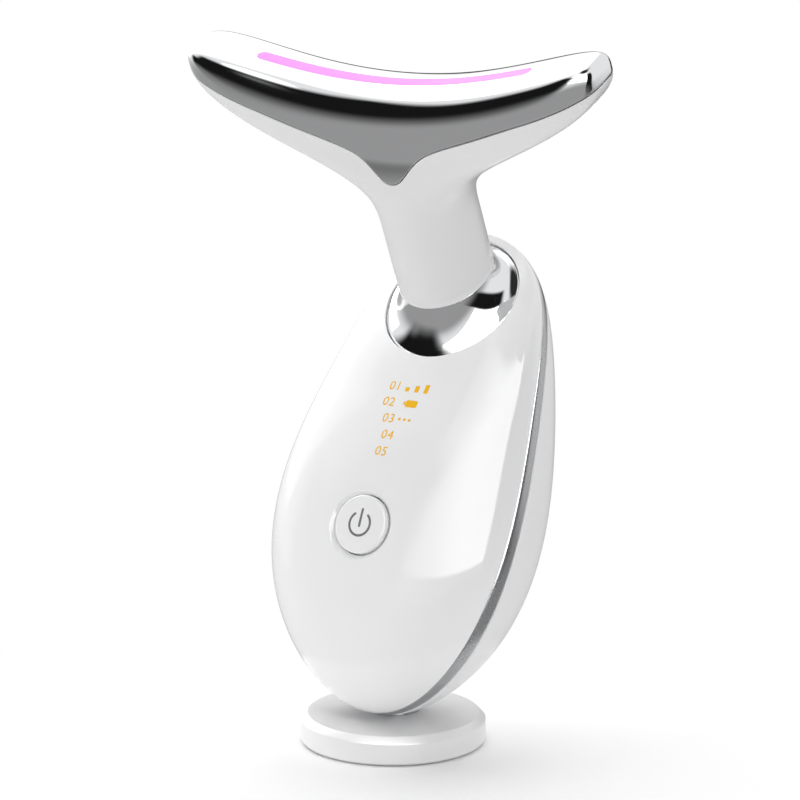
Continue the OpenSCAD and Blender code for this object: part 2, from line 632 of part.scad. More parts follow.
// Battery and its pad.
pad_t = 1.1;
pad_w = 12;
pad_len = 14;
battery_low = 22;
battery_len = show_low - 1 - battery_low;
pad_n = board_n - 0.1 - 1 - 0.1;
module battery_pad() color(dark) in_handle()
    translate([-pad_w/2, -pad_n, battery_low + (battery_len - pad_len)/2])
        cube([pad_w, pad_t, pad_len]);
module battery() color(silver) in_handle()
    translate([-battery_w/2, -pad_n + pad_t + 0.1, battery_low])
        cube([battery_w, battery_t, battery_len]);

// Charging inlet in the back.
port_depth = 7.4;
port_n = -egg_b(acos(1 - 2*port_v/egg_len)) + 1;
module charge_port() color(steel) in_handle() translate([0, -port_n - port_depth, port_v]) {
    difference() {
        rounded_bar(port_w - 0.2, port_h - 0.2, port_depth);
        translate([0, 1, 0])
            rounded_bar(port_w - 0.9, port_h - 0.9, port_depth);
    }
    translate([-3.3, 0.5, -0.35])
        cube([6.6, port_depth - 1.5, 0.7]);
}
module charge_board() color(board_green) in_handle()
    translate([-8, -port_n - port_depth - 3, port_v - port_h/2 - 1])
        cube([16, port_depth, 1]);

// Stand.
weight_r = 17.4;
weight_t = 2.2;
magnet_r = 7;
magnet_t = 1.2;
foot_r = 18.6;
play = 0.15;
module stand_base() color(pearl) difference() {
    rotate_extrude()
        polygon([[0, 0.3], [stand_r - 0.6, 0.3], [stand_r, 0.9], [stand_r, stand_h - stand_chamfer],
            [stand_r - stand_chamfer, stand_h], [0, stand_h]]);
    translate([0, 0, -1])
        cylinder(r = foot_r + play, h = foot_t + play + 1);
    cylinder(r = weight_r + play, h = foot_t + weight_t + 3*play);
    cylinder(r = magnet_r + play, h = foot_t + weight_t + magnet_t + 4*play);
}
module stand_foot() color(dark)
    cylinder(r = foot_r, h = foot_t);
module stand_weight() color(steel) translate([0, 0, foot_t + play])
    cylinder(r = weight_r, h = weight_t);
module stand_magnet() color(silver) translate([0, 0, foot_t + weight_t + 2*play])
    cylinder(r = magnet_r, h = magnet_t);

contact_plate();
light_strip();
led_board();
head_leds();
heater_film();
thermistor();
head_housing();
neck_core();
neck_screws();
motor_can();
motor_sleeve();
motor_rotor();
collar();
front_shell();
trim_band();
rear_shell();
power_button();
switch_body();
switch_plunger();
main_board();
board_screws();
board_chips();
display_board();
display_leds();
display_guide();
battery();
battery_pad();
charge_port();
charge_board();
dock_plate();
stand_base();
stand_weight();
stand_magnet();
stand_foot();
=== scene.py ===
import json
import math

import bmesh
import bpy
import numpy as np
from mathutils import Matrix, Vector, kdtree


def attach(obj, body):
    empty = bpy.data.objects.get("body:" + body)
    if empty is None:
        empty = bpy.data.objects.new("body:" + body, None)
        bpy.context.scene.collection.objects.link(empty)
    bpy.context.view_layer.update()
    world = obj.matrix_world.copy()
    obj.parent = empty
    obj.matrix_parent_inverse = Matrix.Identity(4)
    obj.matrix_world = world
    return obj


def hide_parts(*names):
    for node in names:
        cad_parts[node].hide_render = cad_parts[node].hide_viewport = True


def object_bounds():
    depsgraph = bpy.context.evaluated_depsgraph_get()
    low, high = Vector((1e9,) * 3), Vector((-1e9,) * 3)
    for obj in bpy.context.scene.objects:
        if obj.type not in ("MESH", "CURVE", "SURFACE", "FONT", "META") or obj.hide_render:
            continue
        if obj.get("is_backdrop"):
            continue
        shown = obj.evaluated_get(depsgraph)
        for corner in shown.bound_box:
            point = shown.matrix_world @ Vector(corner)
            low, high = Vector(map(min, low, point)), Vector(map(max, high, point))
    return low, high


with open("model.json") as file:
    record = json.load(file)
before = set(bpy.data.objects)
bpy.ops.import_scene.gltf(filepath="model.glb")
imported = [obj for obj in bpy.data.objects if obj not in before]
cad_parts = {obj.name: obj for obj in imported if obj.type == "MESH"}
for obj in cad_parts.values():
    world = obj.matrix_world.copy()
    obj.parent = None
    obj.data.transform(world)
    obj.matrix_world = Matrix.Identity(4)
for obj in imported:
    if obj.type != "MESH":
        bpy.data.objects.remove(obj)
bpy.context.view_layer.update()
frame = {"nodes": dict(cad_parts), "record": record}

# ------------------------------------------------------------
# Camera. A long lens from the front and right of the massager, looking down a little at its
# middle.
def added(name, data):
    """A new object with its data, in the scene."""
    made = bpy.data.objects.new(name, data)
    bpy.context.scene.collection.objects.link(made)
    return made


camera_turn, camera_rise = math.radians(34.394), math.radians(11.207)
camera_far, camera_focal_px, picture_px, sensor_mm = 0.65994, 3118.35, 800, 36
aim_height, aim_right = 0.0747325, 0.0014707
right = Vector((math.cos(camera_turn), math.sin(camera_turn), 0))
ahead = Vector((-math.sin(camera_turn)*math.cos(camera_rise),
                math.cos(camera_turn)*math.cos(camera_rise), -math.sin(camera_rise)))
above = right.cross(ahead)
camera = added("camera", bpy.data.cameras.new("camera"))
camera.data.sensor_width = sensor_mm
camera.data.lens = sensor_mm*camera_focal_px/picture_px
camera.data.clip_start, camera.data.clip_end = 0.01, 20
place = Matrix((right, above, -ahead)).transposed().to_4x4()
place.translation = Vector((0, 0, aim_height)) + right*aim_right - ahead*camera_far
camera.matrix_world = place
bpy.context.scene.camera = camera
bpy.context.scene.view_settings.view_transform = "Standard"


# ------------------------------------------------------------
# Studio. A pale table top under three soft panels and a plain white room. Glosses see a
# surround of their own instead: soft boxes, dark flags and a grey table.
class Tap:
    """A node's socket as a number: arithmetic on it adds Math nodes to its tree."""

    def __init__(self, tree, socket=None):
        self.tree, self.socket = tree, socket

    def node(self, kind, settings=(), sockets=(), out=0):
        made = self.tree.nodes.new(kind)
        for name, value in dict(settings).items():
            setattr(made, name, value)
        for name, value in dict(sockets).items():
            if isinstance(value, Tap):
                self.tree.links.new(value.socket, made.inputs[name])
            else:
                made.inputs[name].default_value = value
        return Tap(self.tree, made.outputs[out] if len(made.outputs) else None)

    def math(self, operation, *values):
        return self.node("ShaderNodeMath", {"operation": operation}, dict(enumerate(values)))

    def __add__(self, other):
        return self.math("ADD", self, other)

    def __sub__(self, other):
        return self.math("SUBTRACT", self, other)

    def __rsub__(self, other):
        return self.math("SUBTRACT", other, self)

    def __mul__(self, other):
        return self.math("MULTIPLY", self, other)

    __radd__, __rmul__ = __add__, __mul__

    def most(self, other):
        return self.math("MAXIMUM", self, other)


def shader_tree(owner):
    """The emptied node tree of a material or a world."""
    owner.use_nodes = True
    owner.node_tree.nodes.clear()
    return Tap(owner.node_tree)


def seen_rays(tree):
    """1 for what the eye, a gloss or a glass sees, 0 for light that falls on things."""
    path = tree.node("ShaderNodeLightPath")
    outs = path.socket.node.outputs
    seen = Tap(tree.tree, outs["Is Camera Ray"]).most(Tap(tree.tree, outs["Is Glossy Ray"]))
    return seen.most(Tap(tree.tree, outs["Is Transmission Ray"]))


room_fill, room_seen = 0.42, 1.0
world = bpy.data.worlds.new("room")
bpy.context.scene.world = world
tree = shader_tree(world)
strength = room_fill + (room_seen - room_fill)*seen_rays(tree)
back = tree.node("ShaderNodeBackground", (), {"Color": (1, 1, 1, 1), "Strength": strength})
tree.node("ShaderNodeOutputWorld", (), {"Surface": back})

# The table shows its shading near the stand and fades to plain white further out.
table_tone, table_clear, table_fade, table_half = 0.97, 0.03, 0.115, 4
table_mesh = bpy.data.meshes.new("table_top")
table_mesh.from_pydata([(x*table_half, y*table_half, 0)
                        for x, y in ((-1, -1), (1, -1), (1, 1), (-1, 1))], [], [(0, 1, 2, 3)])
table = added("table_top", table_mesh)
table_paint = bpy.data.materials.new("table_paint")
tree = shader_tree(table_paint)
place = tree.node("ShaderNodeTexCoord", out=3)
away = tree.node("ShaderNodeVectorMath", {"operation": "LENGTH"}, {0: place}, out=1)
far = tree.node("ShaderNodeMapRange", {"interpolation_type": "SMOOTHSTEP"},
                {"Value": away, "From Min": table_clear, "From Max": table_fade})
paint = tree.node("ShaderNodeBsdfDiffuse", (), {"Color": (table_tone,)*3 + (1,)})
glow = tree.node("ShaderNodeEmission", (), {"Color": (1, 1, 1, 1), "Strength": 1.0})
both = tree.node("ShaderNodeMixShader", (), {0: far*seen_rays(tree), 1: paint, 2: glow})
tree.node("ShaderNodeOutputMaterial", (), {"Surface": both})
table_paint.cycles.emission_sampling = "NONE"
table_mesh.materials.append(table_paint)
table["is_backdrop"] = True


def panel(name, at, look_at, width, height, radiance):
    """A soft panel of light that the camera doesn't see; radiance 1 is plain white."""
    lamp = bpy.data.lights.new(name, "AREA")
    lamp.shape, lamp.size, lamp.size_y = "RECTANGLE", width, height
    lamp.energy = radiance*math.pi*width*height
    made = added(name, lamp)
    made.location = at
    made.rotation_euler = (Vector(look_at) - Vector(at)).to_track_quat("-Z", "Y").to_euler()
    made.visible_camera = made.visible_glossy = False


panel("panel_overhead", (-0.35, 0.35, 0.95), (0, 0, 0.10), 1.4, 1.1, 2.1)
panel("panel_right", (0.78, -0.45, 0.40), (0, 0, 0.08), 0.45, 0.62, 2.3)
panel("panel_left", (-0.75, -0.55, 0.20), (0, 0, 0.08), 0.7, 0.6, 2.8)


def ramp(value, start, full):
    """Rises softly from 0 at start to 1 at full."""
    return value.node("ShaderNodeMapRange", {"interpolation_type": "SMOOTHSTEP"},
                      {"Value": value, "From Min": start, "From Max": full})


def hoop(radius, height):
    """A level round of points."""
    return [(radius*math.cos(a), radius*math.sin(a), height)
            for a in np.linspace(0, 2*math.pi, hoop_steps, endpoint=False)]


# What glosses see, over plain white: soft boxes and dark flags. Each tone lies within edges
# (part of the turn, part of the rise, start, full), the turn around the massager from its
# front and the rise above its head in degrees.
eye_z, surround_r, surround_low, hoop_steps, dome_steps = 0.12, 1.2, 0.0015, 72, 46
surround_tones = [
    (0.38, [(0, -1, -6, 22)]),
    (1.4, [(1, 0, -160, -150), (-1, 0.45, 82, 90), (0, 1, 16, 28)]),
    (2.2, [(1, 0, -134, -124), (-1, 0.45, 86, 89), (0, 1, -2, 8), (0, -1, -54, -48)]),
    (5.0, [(1, 0, -134, -124), (-1, 0.45, 90, 118), (0, 1, 5, 13), (0, -1, -54, -48)]),
    (2.4, [(1, 0.5, -11, -8), (-1, 0, -67, -64), (0.15, 1, 6, 9), (0, -1, -66, -63)]),
    (7.5, [(1, 0.5, -10, 44), (-1, 0, -67, -64), (0.15, 1, 6, 9), (0, -1, -66, -60)]),
    (0.01, [(1, 0, -76, -62), (-1, 0, 8, 28), (0, 1, -35, 3), (0, -1, -34, -22)]),
    (0.01, [(1, 0, -60, -46), (-1, 0, 8, 28), (0, 1, -35, 3), (0, -1, -56, -42)]),
    (0.01, [(1, 0, 67, 70), (-1, 0, -112, -102), (0, 1, -45, -12), (0, -1, -62, -50)]),
    (0.03, [(-1, 0, 134, 144), (0, 1, -40, -12), (0, -1, -22, -13)]),
    (0.03, [(1, 0, 160, 172), (0, 1, -40, -12), (0, -1, -22, -13)]),
    (0.03, [(0, 1, 71, 80)])]
rings = [hoop(r, surround_low) for r in (0.045, 0.08, 0.14, 0.25, 0.45, 0.8, 1.19)]
rings += [hoop(surround_r*math.cos(a), surround_r*math.sin(a))
          for a in np.radians(np.linspace(0.1, 89.9, dome_steps))]
surround_mesh = bpy.data.meshes.new("surround")
surround_mesh.from_pydata(sum(rings, []), [], [
    (i + j, i + (j + 1) % hoop_steps, i + hoop_steps + (j + 1) % hoop_steps,
     i + hoop_steps + j)
    for i in range(0, (len(rings) - 1)*hoop_steps, hoop_steps) for j in range(hoop_steps)])
surround = added("surround", surround_mesh)
surround_paint = bpy.data.materials.new("surround_paint")
tree = shader_tree(surround_paint)
place = tree.node("ShaderNodeTexCoord", out=3)
x, y, z = (Tap(tree.tree, axis) for axis in place.node(
    "ShaderNodeSeparateXYZ", (), {0: place}).socket.node.outputs)
around = x.math("DEGREES", x.math("ARCTAN2", x, 0 - y))
rise = x.math("DEGREES", x.math("ARCTAN2", z - eye_z, x.math("SQRT", x*x + y*y)))
tone = 1 + 0*x
for level, edges in surround_tones:
    within = 1 + 0*x
    for turn_part, rise_part, start, full in edges:
        within = within*ramp(turn_part*around + rise_part*rise, start, full)
    tone = tone + (level - tone)*within
light = tree.node("ShaderNodeEmission", (), {"Color": (1, 1, 1, 1), "Strength": tone})
tree.node("ShaderNodeOutputMaterial", (), {"Surface": light})
surround_paint.cycles.emission_sampling = "NONE"
surround_mesh.materials.append(surround_paint)
surround.visible_camera = surround.visible_diffuse = surround.visible_shadow = False
surround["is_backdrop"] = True


# ------------------------------------------------------------
# Stand. A turned disc of pearl-lacquered metal with a chamfered upper edge; the weight and
# the magnet lie in it from below, and a rubber foot closes it.
MM = 0.001


def turn(degrees):
    return Matrix.Rotation(math.radians(degrees), 4, "X")


def shift(x, y, z):
    return Matrix.Translation((x, y, z))


def rounded_line(corners, steps=5):
    """A line through (x, y, radius) corners, each rounded by its radius."""
    line = []
    for i, (x, y, radius) in enumerate(corners):
        if radius == 0:
            line.append((x, y))
            continue
        here = np.array((x, y))
        before = np.array(corners[i - 1][:2]) - here
        after = np.array(corners[(i + 1) % len(corners)][:2]) - here
        before, after = before/np.linalg.norm(before), after/np.linalg.norm(after)
        half = math.acos(max(-1, min(1, before @ after)))/2
        run = radius/math.tan(half)
        middle = here + (before + after)/np.linalg.norm(before + after)*radius/math.sin(half)
        start, end = here + before*run - middle, here + after*run - middle
        for f in np.linspace(0, 1, steps + 1):
            w = math.pi - 2*half
            arc = (math.sin((1 - f)*w)*start + math.sin(f*w)*end)/math.sin(w)
            line.append(tuple(middle + arc))
    return line


def turned(line, steps=96, place=Matrix()):
    """Rings of a line of (radius, height) points turned about z, as one patch."""
    a = np.linspace(0, 2*math.pi, steps, endpoint=False)
    r, z = np.array(line).T
    grid = np.stack([np.outer(r, np.cos(a)), np.outer(r, np.sin(a)),
                     np.repeat(z[:, None], steps, 1)], 2)
    return placed(grid, place), False, True


def placed(grid, place):
    m = np.array(place)
    return grid @ m[:3, :3].T + m[:3, 3]


def solid(name, patches, place=Matrix(), crease=32):
    """A closed mesh from patches (grid of points, joined across rows, joined along columns)."""
    points, faces, base = [], [], 0
    for grid, wrap_rows, wrap_cols in patches:
        nr, nc = grid.shape[:2]
        ids = base + np.arange(nr*nc).reshape(nr, nc)
        if wrap_rows:
            ids = np.concatenate([ids, ids[:1]])
        if wrap_cols:
            ids = np.concatenate([ids, ids[:, :1]], 1)
        quads = np.stack([ids[:-1, :-1], ids[:-1, 1:], ids[1:, 1:], ids[1:, :-1]], 2)
        faces.append(quads.reshape(-1, 4))
        points.append(grid.reshape(-1, 3))
        base += nr*nc
    points = placed(np.concatenate(points), place)*MM
    mesh = bpy.data.meshes.new(name)
    mesh.from_pydata(points.tolist(), [], np.concatenate(faces).tolist())
    body = bmesh.new()
    body.from_mesh(mesh)
    bmesh.ops.remove_doubles(body, verts=body.verts, dist=2e-6)
    bmesh.ops.dissolve_degenerate(body, dist=1e-7, edges=body.edges)
    bmesh.ops.recalc_face_normals(body, faces=body.faces)
    body.to_mesh(mesh)
    body.free()
    finish_mesh(mesh, crease)
    return added(name, mesh)


def finish_mesh(mesh, crease, wear_reach=0.5):
    """Smooth faces with sharp edges, and how near each point is to one, as attribute wear."""
    mesh.shade_smooth()
    mesh.set_sharp_from_angle(angle=math.radians(crease))
    mesh.update()
    sharp = mesh.attributes.get("sharp_edge")
    wear = np.zeros(len(mesh.vertices), np.float32)
    if sharp:
        flags = np.zeros(len(mesh.edges), bool)
        sharp.data.foreach_get("value", flags)
        ends = np.zeros(len(mesh.edges)*2, np.int32)
        mesh.edges.foreach_get("vertices", ends)
        on_edge = np.unique(ends.reshape(-1, 2)[flags])
        if len(on_edge):
            tree = kdtree.KDTree(len(on_edge))
            for i, v in enumerate(on_edge.tolist()):
                tree.insert(mesh.vertices[v].co, i)
            tree.balance()
            for v in mesh.vertices:
                wear[v.index] = max(0, 1 - tree.find(v.co)[2]/(wear_reach*MM))
    layer = mesh.attributes.get("wear") or mesh.attributes.new("wear", "FLOAT", "POINT")
    layer.data.foreach_set("value", wear)


def finish(name, colour, second=None, rough=(0.3, 0.4), patch=40, grain=1500, depth=8e-6,
           metal=0.0, coat=0.0, worn=0.0, glow=0.0, shine=0.5, worn_rough=0.15):
    """A moulded, painted or plated finish: tone and gloss drift over patches (per metre), a
    fine grain bumps the surface, and edges wear towards the tone given as worn."""
    made = bpy.data.materials.new(name)
    tree = shader_tree(made)
    at = tree.node("ShaderNodeTexCoord", out=3)
    drift = tree.node("ShaderNodeTexNoise", (), {"Vector": at, "Scale": patch, "Detail": 3.0})
    fine = tree.node("ShaderNodeTexNoise", (), {"Vector": at, "Scale": grain, "Detail": 2.0})
    wear = tree.node("ShaderNodeAttribute", {"attribute_name": "wear"}, out=2)
    rub = wear*tree.node("ShaderNodeMapRange", (), {"Value": drift, "From Min": 0.35,
                                                    "From Max": 0.65})
    second = second or tuple(c*0.96 for c in colour)
    tone = tree.node("ShaderNodeMix", {"data_type": "RGBA"},
                     {0: drift, 6: (*colour, 1), 7: (*second, 1)}, out=2)
    edge = tuple(c + (worn if c + worn < 1 else 1 - c) for c in colour)
    tone = tree.node("ShaderNodeMix", {"data_type": "RGBA"},
                     {0: rub*0.6, 6: tone, 7: (*edge, 1)}, out=2)
    roughness = rough[0] + (rough[1] - rough[0])*(drift*0.7 + fine*0.3) + rub*worn_rough
    bump = tree.node("ShaderNodeBump", (), {"Height": fine, "Distance": depth,
                                            "Strength": 1.0})
    sockets = {"Base Color": tone, "Roughness": roughness, "Metallic": metal, "Normal": bump,
               "Coat Weight": coat, "Coat Roughness": 0.04, "Specular IOR Level": shine}
    if glow:
        sockets["Emission Color"] = tone
        sockets["Emission Strength"] = glow
        sockets["Base Color"] = tree.node("ShaderNodeMix", {"data_type": "RGBA"}, {
            0: glow, 6: tone, 7: (0, 0, 0, 1)}, out=2)
    surface = tree.node("ShaderNodeBsdfPrincipled", (), sockets)
    tree.node("ShaderNodeOutputMaterial", (), {"Surface": surface})
    return made


def dress(piece, body, slot, paint, *nodes):
    """Gives a piece its finish, its body and the CAD nodes that it stands for; the slot is not
    used.
    """
    piece.data.materials.clear()
    piece.data.materials.append(paint)
    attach(piece, body)
    if nodes:
        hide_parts(*nodes)


stand_r, stand_h, stand_chamfer, stand_round = 20.0, 6.4, 1.4, 0.45
stand_low, stand_bevel = 0.3, 0.5
foot_seat_r, foot_seat_z, weight_seat_r, weight_seat_z = 18.75, 1.05, 17.55, 3.55
magnet_seat_r, magnet_seat_z = 7.15, 4.9
stand_line = rounded_line([
    (0, magnet_seat_z, 0), (magnet_seat_r, magnet_seat_z, 0), (magnet_seat_r, weight_seat_z, 0),
    (weight_seat_r, weight_seat_z, 0), (weight_seat_r, foot_seat_z, 0),
    (foot_seat_r, foot_seat_z, 0), (foot_seat_r, stand_low, 0),
    (stand_r - stand_bevel, stand_low, 0.1), (stand_r, stand_low + stand_bevel, 0.35),
    (stand_r, stand_h - stand_chamfer, stand_round),
    (stand_r - stand_chamfer, stand_h, stand_round), (0, stand_h, 0)])
lacquer = finish("pearl_lacquer", (0.86, 0.86, 0.865), (0.83, 0.83, 0.835), (0.32, 0.38),
                 patch=60, grain=2600, depth=1e-6, metal=0.1, worn=0.06)
stand = solid("stand_disc", [turned(stand_line, 160)])
dress(stand, "stand", "pearl", lacquer, "stand_base")


# ------------------------------------------------------------
# Handle shells. Two white ABS mouldings of one egg-shaped skin, superelliptic across, parted
# by a line that runs down each side. The front one is glossy and has the holes for the collar
# and the button and four screw posts inside; the rear one is satin, with the charging hole.
egg_len, egg_half_w, egg_front, egg_rear = 107.0, 31.4, 14.9, 19.0
egg_y, egg_z, handle_lean, shoulder_v, shoulder_n = -8.6, 8.0, 23.2, 65, 1.2
front_power_low, front_power_gain, rear_power = 2.6, 1.2, 1.9
shell_wall, band_low, band_top, band_gap = 2.2, 3.2, 1.5, 0.18
seat_n, seat_v, seat_tilt = 4.9, 90.6, 21.0
button_r, button_play, button_ring, button_v = 6.3, 0.25, 1.3, 37.4
in_handle = shift(0, egg_y, egg_z) @ turn(-handle_lean)
on_seat = in_handle @ shift(0, -seat_n, seat_v) @ turn(90 - seat_tilt)


def sine(degrees):
    return np.sin(np.radians(degrees))


def cosine(degrees):
    return np.cos(np.radians(degrees))


# The egg at station t (0 bottom to 180 top), sunk by k: the height along it, its half width
# and its depth to the front and to the rear.
def egg_v(t, k=0.0):
    return k + (egg_len - 2*k)/2*(1 - cosine(t))


def egg_w(t, k=0.0):
    return (1 - k/egg_half_w)*egg_half_w*sine(t)*(
        1 + 0.018*cosine(t) + 0.022*cosine(2*t) - 0.059*cosine(3*t))


def egg_f(t, k=0.0):
    v = egg_v(t, k)
    shoulder = np.where(v < shoulder_v, 0, shoulder_n*sine(
        180*(v - shoulder_v)/(egg_len - shoulder_v))**2)
    depth = egg_front*sine(t)*(1 + 0.8*cosine(t) - 0.2*cosine(2*t)) + shoulder
    return np.maximum(1e-4, (1 - k/(1.34*egg_front))*depth)


def egg_b(t, k=0.0):
    return np.maximum(1e-4, (1 - k/(0.99*egg_rear))*egg_rear*sine(t)*(
        1 + 0.4*cosine(t) + 0.12*cosine(2*t)))


def front_power(v):
    """The superellipse power across the front, squarer towards the top."""
    return front_power_low + front_power_gain*(v/egg_len)**2


def skin(t, s, k=0.0):
    """Point of the skin at station t and angle s (90 front, -90 rear), sunk by k."""
    v = egg_v(t, k)
    s = np.asarray(s, float)
    front = sine(s) > 0
    p = np.where(front, front_power(v), rear_power)
    c, n = cosine(s), sine(s)
    x = egg_w(t, k)*np.sign(c)*np.abs(c)**(2/p)
    y = -np.where(front, egg_f(t, k), egg_b(t, k))*np.sign(n)*np.abs(n)**(2/p)
    return np.stack(np.broadcast_arrays(x, y, v), -1)


def parting(v):
    """How far ahead of the egg's middle plane the parting line is at a height."""
    q = v/egg_len - 0.5
    return 8.38 - 10.16*q - 37.2*q*q + 29.1*q**3


def band(v):
    """Width of the trim at a height."""
    return band_low + (band_top - band_low)*v/egg_len


def cut_share(depth, t, k):
    """How far out a cut line is at a station, as a share of the skin's depth there."""
    n = depth(egg_v(t, k))
    return np.where(n >= 0, n/egg_f(t, k), -n/egg_b(t, k))


def cut_end(depth, k, outside, inside):
    """The station between two at which the cut line meets the skin's front or rear."""
    for _ in range(40):
        m = (outside + inside)/2
        if cut_share(depth, m, k) >= 1:
            outside = m
        else:
            inside = m
    return (outside + inside)/2


def cut_stations(depth, k, rows):
    """Stations t of a cut line from end to end, and the angle s of its edge at each."""
    low, high = cut_end(depth, k, 0.01, 40), cut_end(depth, k, 179.99, 140)
    t = low + (high - low)*(1 - cosine(180*np.arange(rows + 1)/rows))/2
    v = egg_v(t, k)
    n = depth(v)
    share = np.minimum(1, cut_share(depth, t, k))
    p = np.where(n >= 0, front_power(v), rear_power)
    s = np.sign(n)*np.degrees(np.arcsin(share**(p/2)))
    s[0], s[-1] = (90 if n[0] > 0 else -90), -90
    return t, s


def cut_loop(depth, k, rows):
    """The cut line as one closed loop: up the right side and down the left."""
    t, s = cut_stations(depth, k, rows)
    side = skin(t, s, k)
    side[0, 0] = side[-1, 0] = 0
    return np.concatenate([side, (side*(-1, 1, 1))[-2:0:-1]])


def even_arc(t, s_edge, s_middle, k, columns):
    """Half a cross-section from its edge to its middle, in even steps of length."""
    u = np.linspace(1, 0, 500)
    p = front_power(egg_v(t, k))
    if s_middle > 0 and s_edge < 0:
        s = np.concatenate([-np.linspace(-s_edge, 0, 200)[:-1], 90 - 90*u**(p/2)])
    elif s_middle > 0:
        s = 90 - (90 - s_edge)*u**(p/2)
    elif s_edge > 0:
        s = np.concatenate([np.linspace(s_edge, 0, 200)[:-1], np.linspace(0, s_middle, 500)])
    else:
        s = s_edge + (s_middle - s_edge)*np.linspace(0, 1, 500)
    line = skin(t, s, k)
    run = np.concatenate([[0], np.cumsum(np.linalg.norm(np.diff(line, axis=0), axis=1))])
    want = np.linspace(0, run[-1], columns + 1)
    out = np.stack([np.interp(want, run, line[:, c]) for c in range(3)], 1)
    out[-1, 0] = 0
    return out


def across(t, s_edge, s_middle, k, columns):
    """A whole cross-section, from the right edge over the middle to the left edge."""
    half = even_arc(t, s_edge, s_middle, k, columns)
    return np.concatenate([half, (half*(-1, 1, 1))[-2::-1]])


def shell_inside(depth, k, rows, columns, s_middle, closed_top):
    """The skin within a cut line, and above it where the shell goes over the top."""
    t, s = cut_stations(depth, k, rows)
    grid = np.stack([across(t[i], s[i], s_middle, k, columns) for i in range(rows + 1)])
    grid[0] = grid[0][0]*(0, 1, 1)
    if not closed_top:
        grid[-1] = grid[-1][0]*(0, 1, 1)
        return [(grid, False, False)]
    cap = [across(a, -90, 90, k, columns) for a in 180 - (180 - t[-1])*cosine(
        90*np.arange(1, 19)/18)]
    cap[-1] = np.repeat([[0, 0, egg_len - k]], 2*columns + 1, 0)
    return [(np.concatenate([grid, np.stack(cap)]), False, False)]


def rounded_rim(before, edge, inner, radius, steps=4):
    """Rings that round the corner from a skin's edge to the edge of its inner skin."""
    out = edge - before
    out /= np.maximum(np.linalg.norm(out, axis=1, keepdims=True), 1e-9)
    down = inner - edge
    down /= np.maximum(np.linalg.norm(down, axis=1, keepdims=True), 1e-9)
    middle = edge - radius*out + radius*down
    turns = np.linspace(0, math.pi/2, steps + 1)
    return [middle - radius*down*math.cos(a) + radius*out*math.sin(a) for a in turns]


def shell(depth_at, rows, columns, s_middle, closed_top):
    """A whole shell: skin, steps towards its parting line, rounded rim and inner skin."""
    steps = (1.0, 0.75, 0.5)
    near = [cut_loop(depth_at(c), 0, rows) for c in steps]
    edge = cut_loop(depth_at(0.0), 0, rows)
    inner = cut_loop(depth_at(0.0), shell_wall, rows)
    rim = np.stack(near + rounded_rim(near[-1], edge, inner, 0.3) + [inner])
    return (shell_inside(depth_at(steps[0]), 0, rows, columns, s_middle, closed_top)
            + [(rim, False, True)]
            + shell_inside(depth_at(0.0), shell_wall, rows, 14, s_middle, closed_top))


def baked(piece):
    """The mesh that a piece's modifiers, or a writing's letters, make."""
    bpy.context.view_layer.update()
    return bpy.data.meshes.new_from_object(
        piece.evaluated_get(bpy.context.evaluated_depsgraph_get()))


def cut_away(piece, tools, crease=32):
    """Cuts tool patches out of a piece and finishes its mesh again."""
    tool = solid(piece.name + "_tool", tools)
    step = piece.modifiers.new("cut", "BOOLEAN")
    step.operation, step.solver, step.object = "DIFFERENCE", "EXACT", tool
    mesh = baked(piece)
    piece.modifiers.clear()
    piece.data = mesh
    bpy.data.objects.remove(tool)
    finish_mesh(mesh, crease)


def stadium(half, width, start, end, place, steps):
    """A bar with round sides, half as long as given along x, closed at both ends along z."""
    a = np.linspace(-math.pi/2, math.pi/2, steps + 1)
    r = width/2
    x = np.concatenate([half - r + r*np.cos(a), -(half - r) - r*np.cos(a)])
    y = np.concatenate([r*np.sin(a), -r*np.sin(a)])
    rows = [np.stack([x*f, y*f, np.full(len(x), z)], 1)
            for f, z in ((0, start), (1, start), (1, end), (0, end))]
    return placed(np.stack(rows), place), False, True


def ahead_of(gap):
    """Cut lines of the front shell: a gap and a further step c ahead of the parting line."""
    return lambda c: (lambda v: parting(v) + gap + c)


def behind(gap):
    """Cut lines of the rear shell: a gap and a further step c behind the trim."""
    return lambda c: (lambda v: parting(v) - band(v) - gap - c)


def station(v):
    """Station of a height, the reverse of egg_v."""
    return math.degrees(math.acos(1 - 2*v/egg_len))


white_gloss = finish("white_gloss", (0.845, 0.845, 0.85), (0.83, 0.83, 0.835), (0.02, 0.05),
                     patch=30, grain=700, depth=1e-6, shine=0.45, worn=-0.06)
white_satin = finish("white_satin", (0.80, 0.80, 0.805), (0.785, 0.785, 0.79), (0.26, 0.34),
                     patch=35, grain=1800, depth=1.5e-6, shine=0.3, worn=-0.05)
shell_rows, shell_columns = 110, 70

board_n, post_x, post_r, post_clear, screw_r = 12.6, 11.5, 2.2, 1.8, 0.9
post_rows, post_bevel, post_root, screw_short = (24.0, 48.0), 0.2, 1, 0.4
button_n = float(egg_f(station(button_v)))
at_button = in_handle @ shift(0, -button_n, button_v) @ turn(90)
posts = []
for x in (-post_x, post_x):
    for v in post_rows:
        share = ((post_x + post_r)/float(egg_w(station(v))))**front_power_low
        tall = (float(egg_f(station(v)))*(1 - share)**(1/front_power_low) - board_n
                - post_clear)
        line = [(0, tall - screw_short), (screw_r, tall - screw_short), (screw_r, 0),
                (post_r - post_bevel, 0), (post_r, post_bevel), (post_r, tall + post_root),
                (0, tall + post_root)]
        posts.append(turned(line, 32, shift(x, -board_n, v) @ turn(90)))
front = solid("handle_front", shell(ahead_of(band_gap), shell_rows, shell_columns, 90, True),
              in_handle)
collar_r, seat_play, seat_depth, skirt_r = 15.5, 0.25, 0.9, 12.3
hole, dish_deep, dish_edge, dish_reach = button_r + button_play, 1.3, 0.28, 8.8
through, clear = 8, 11
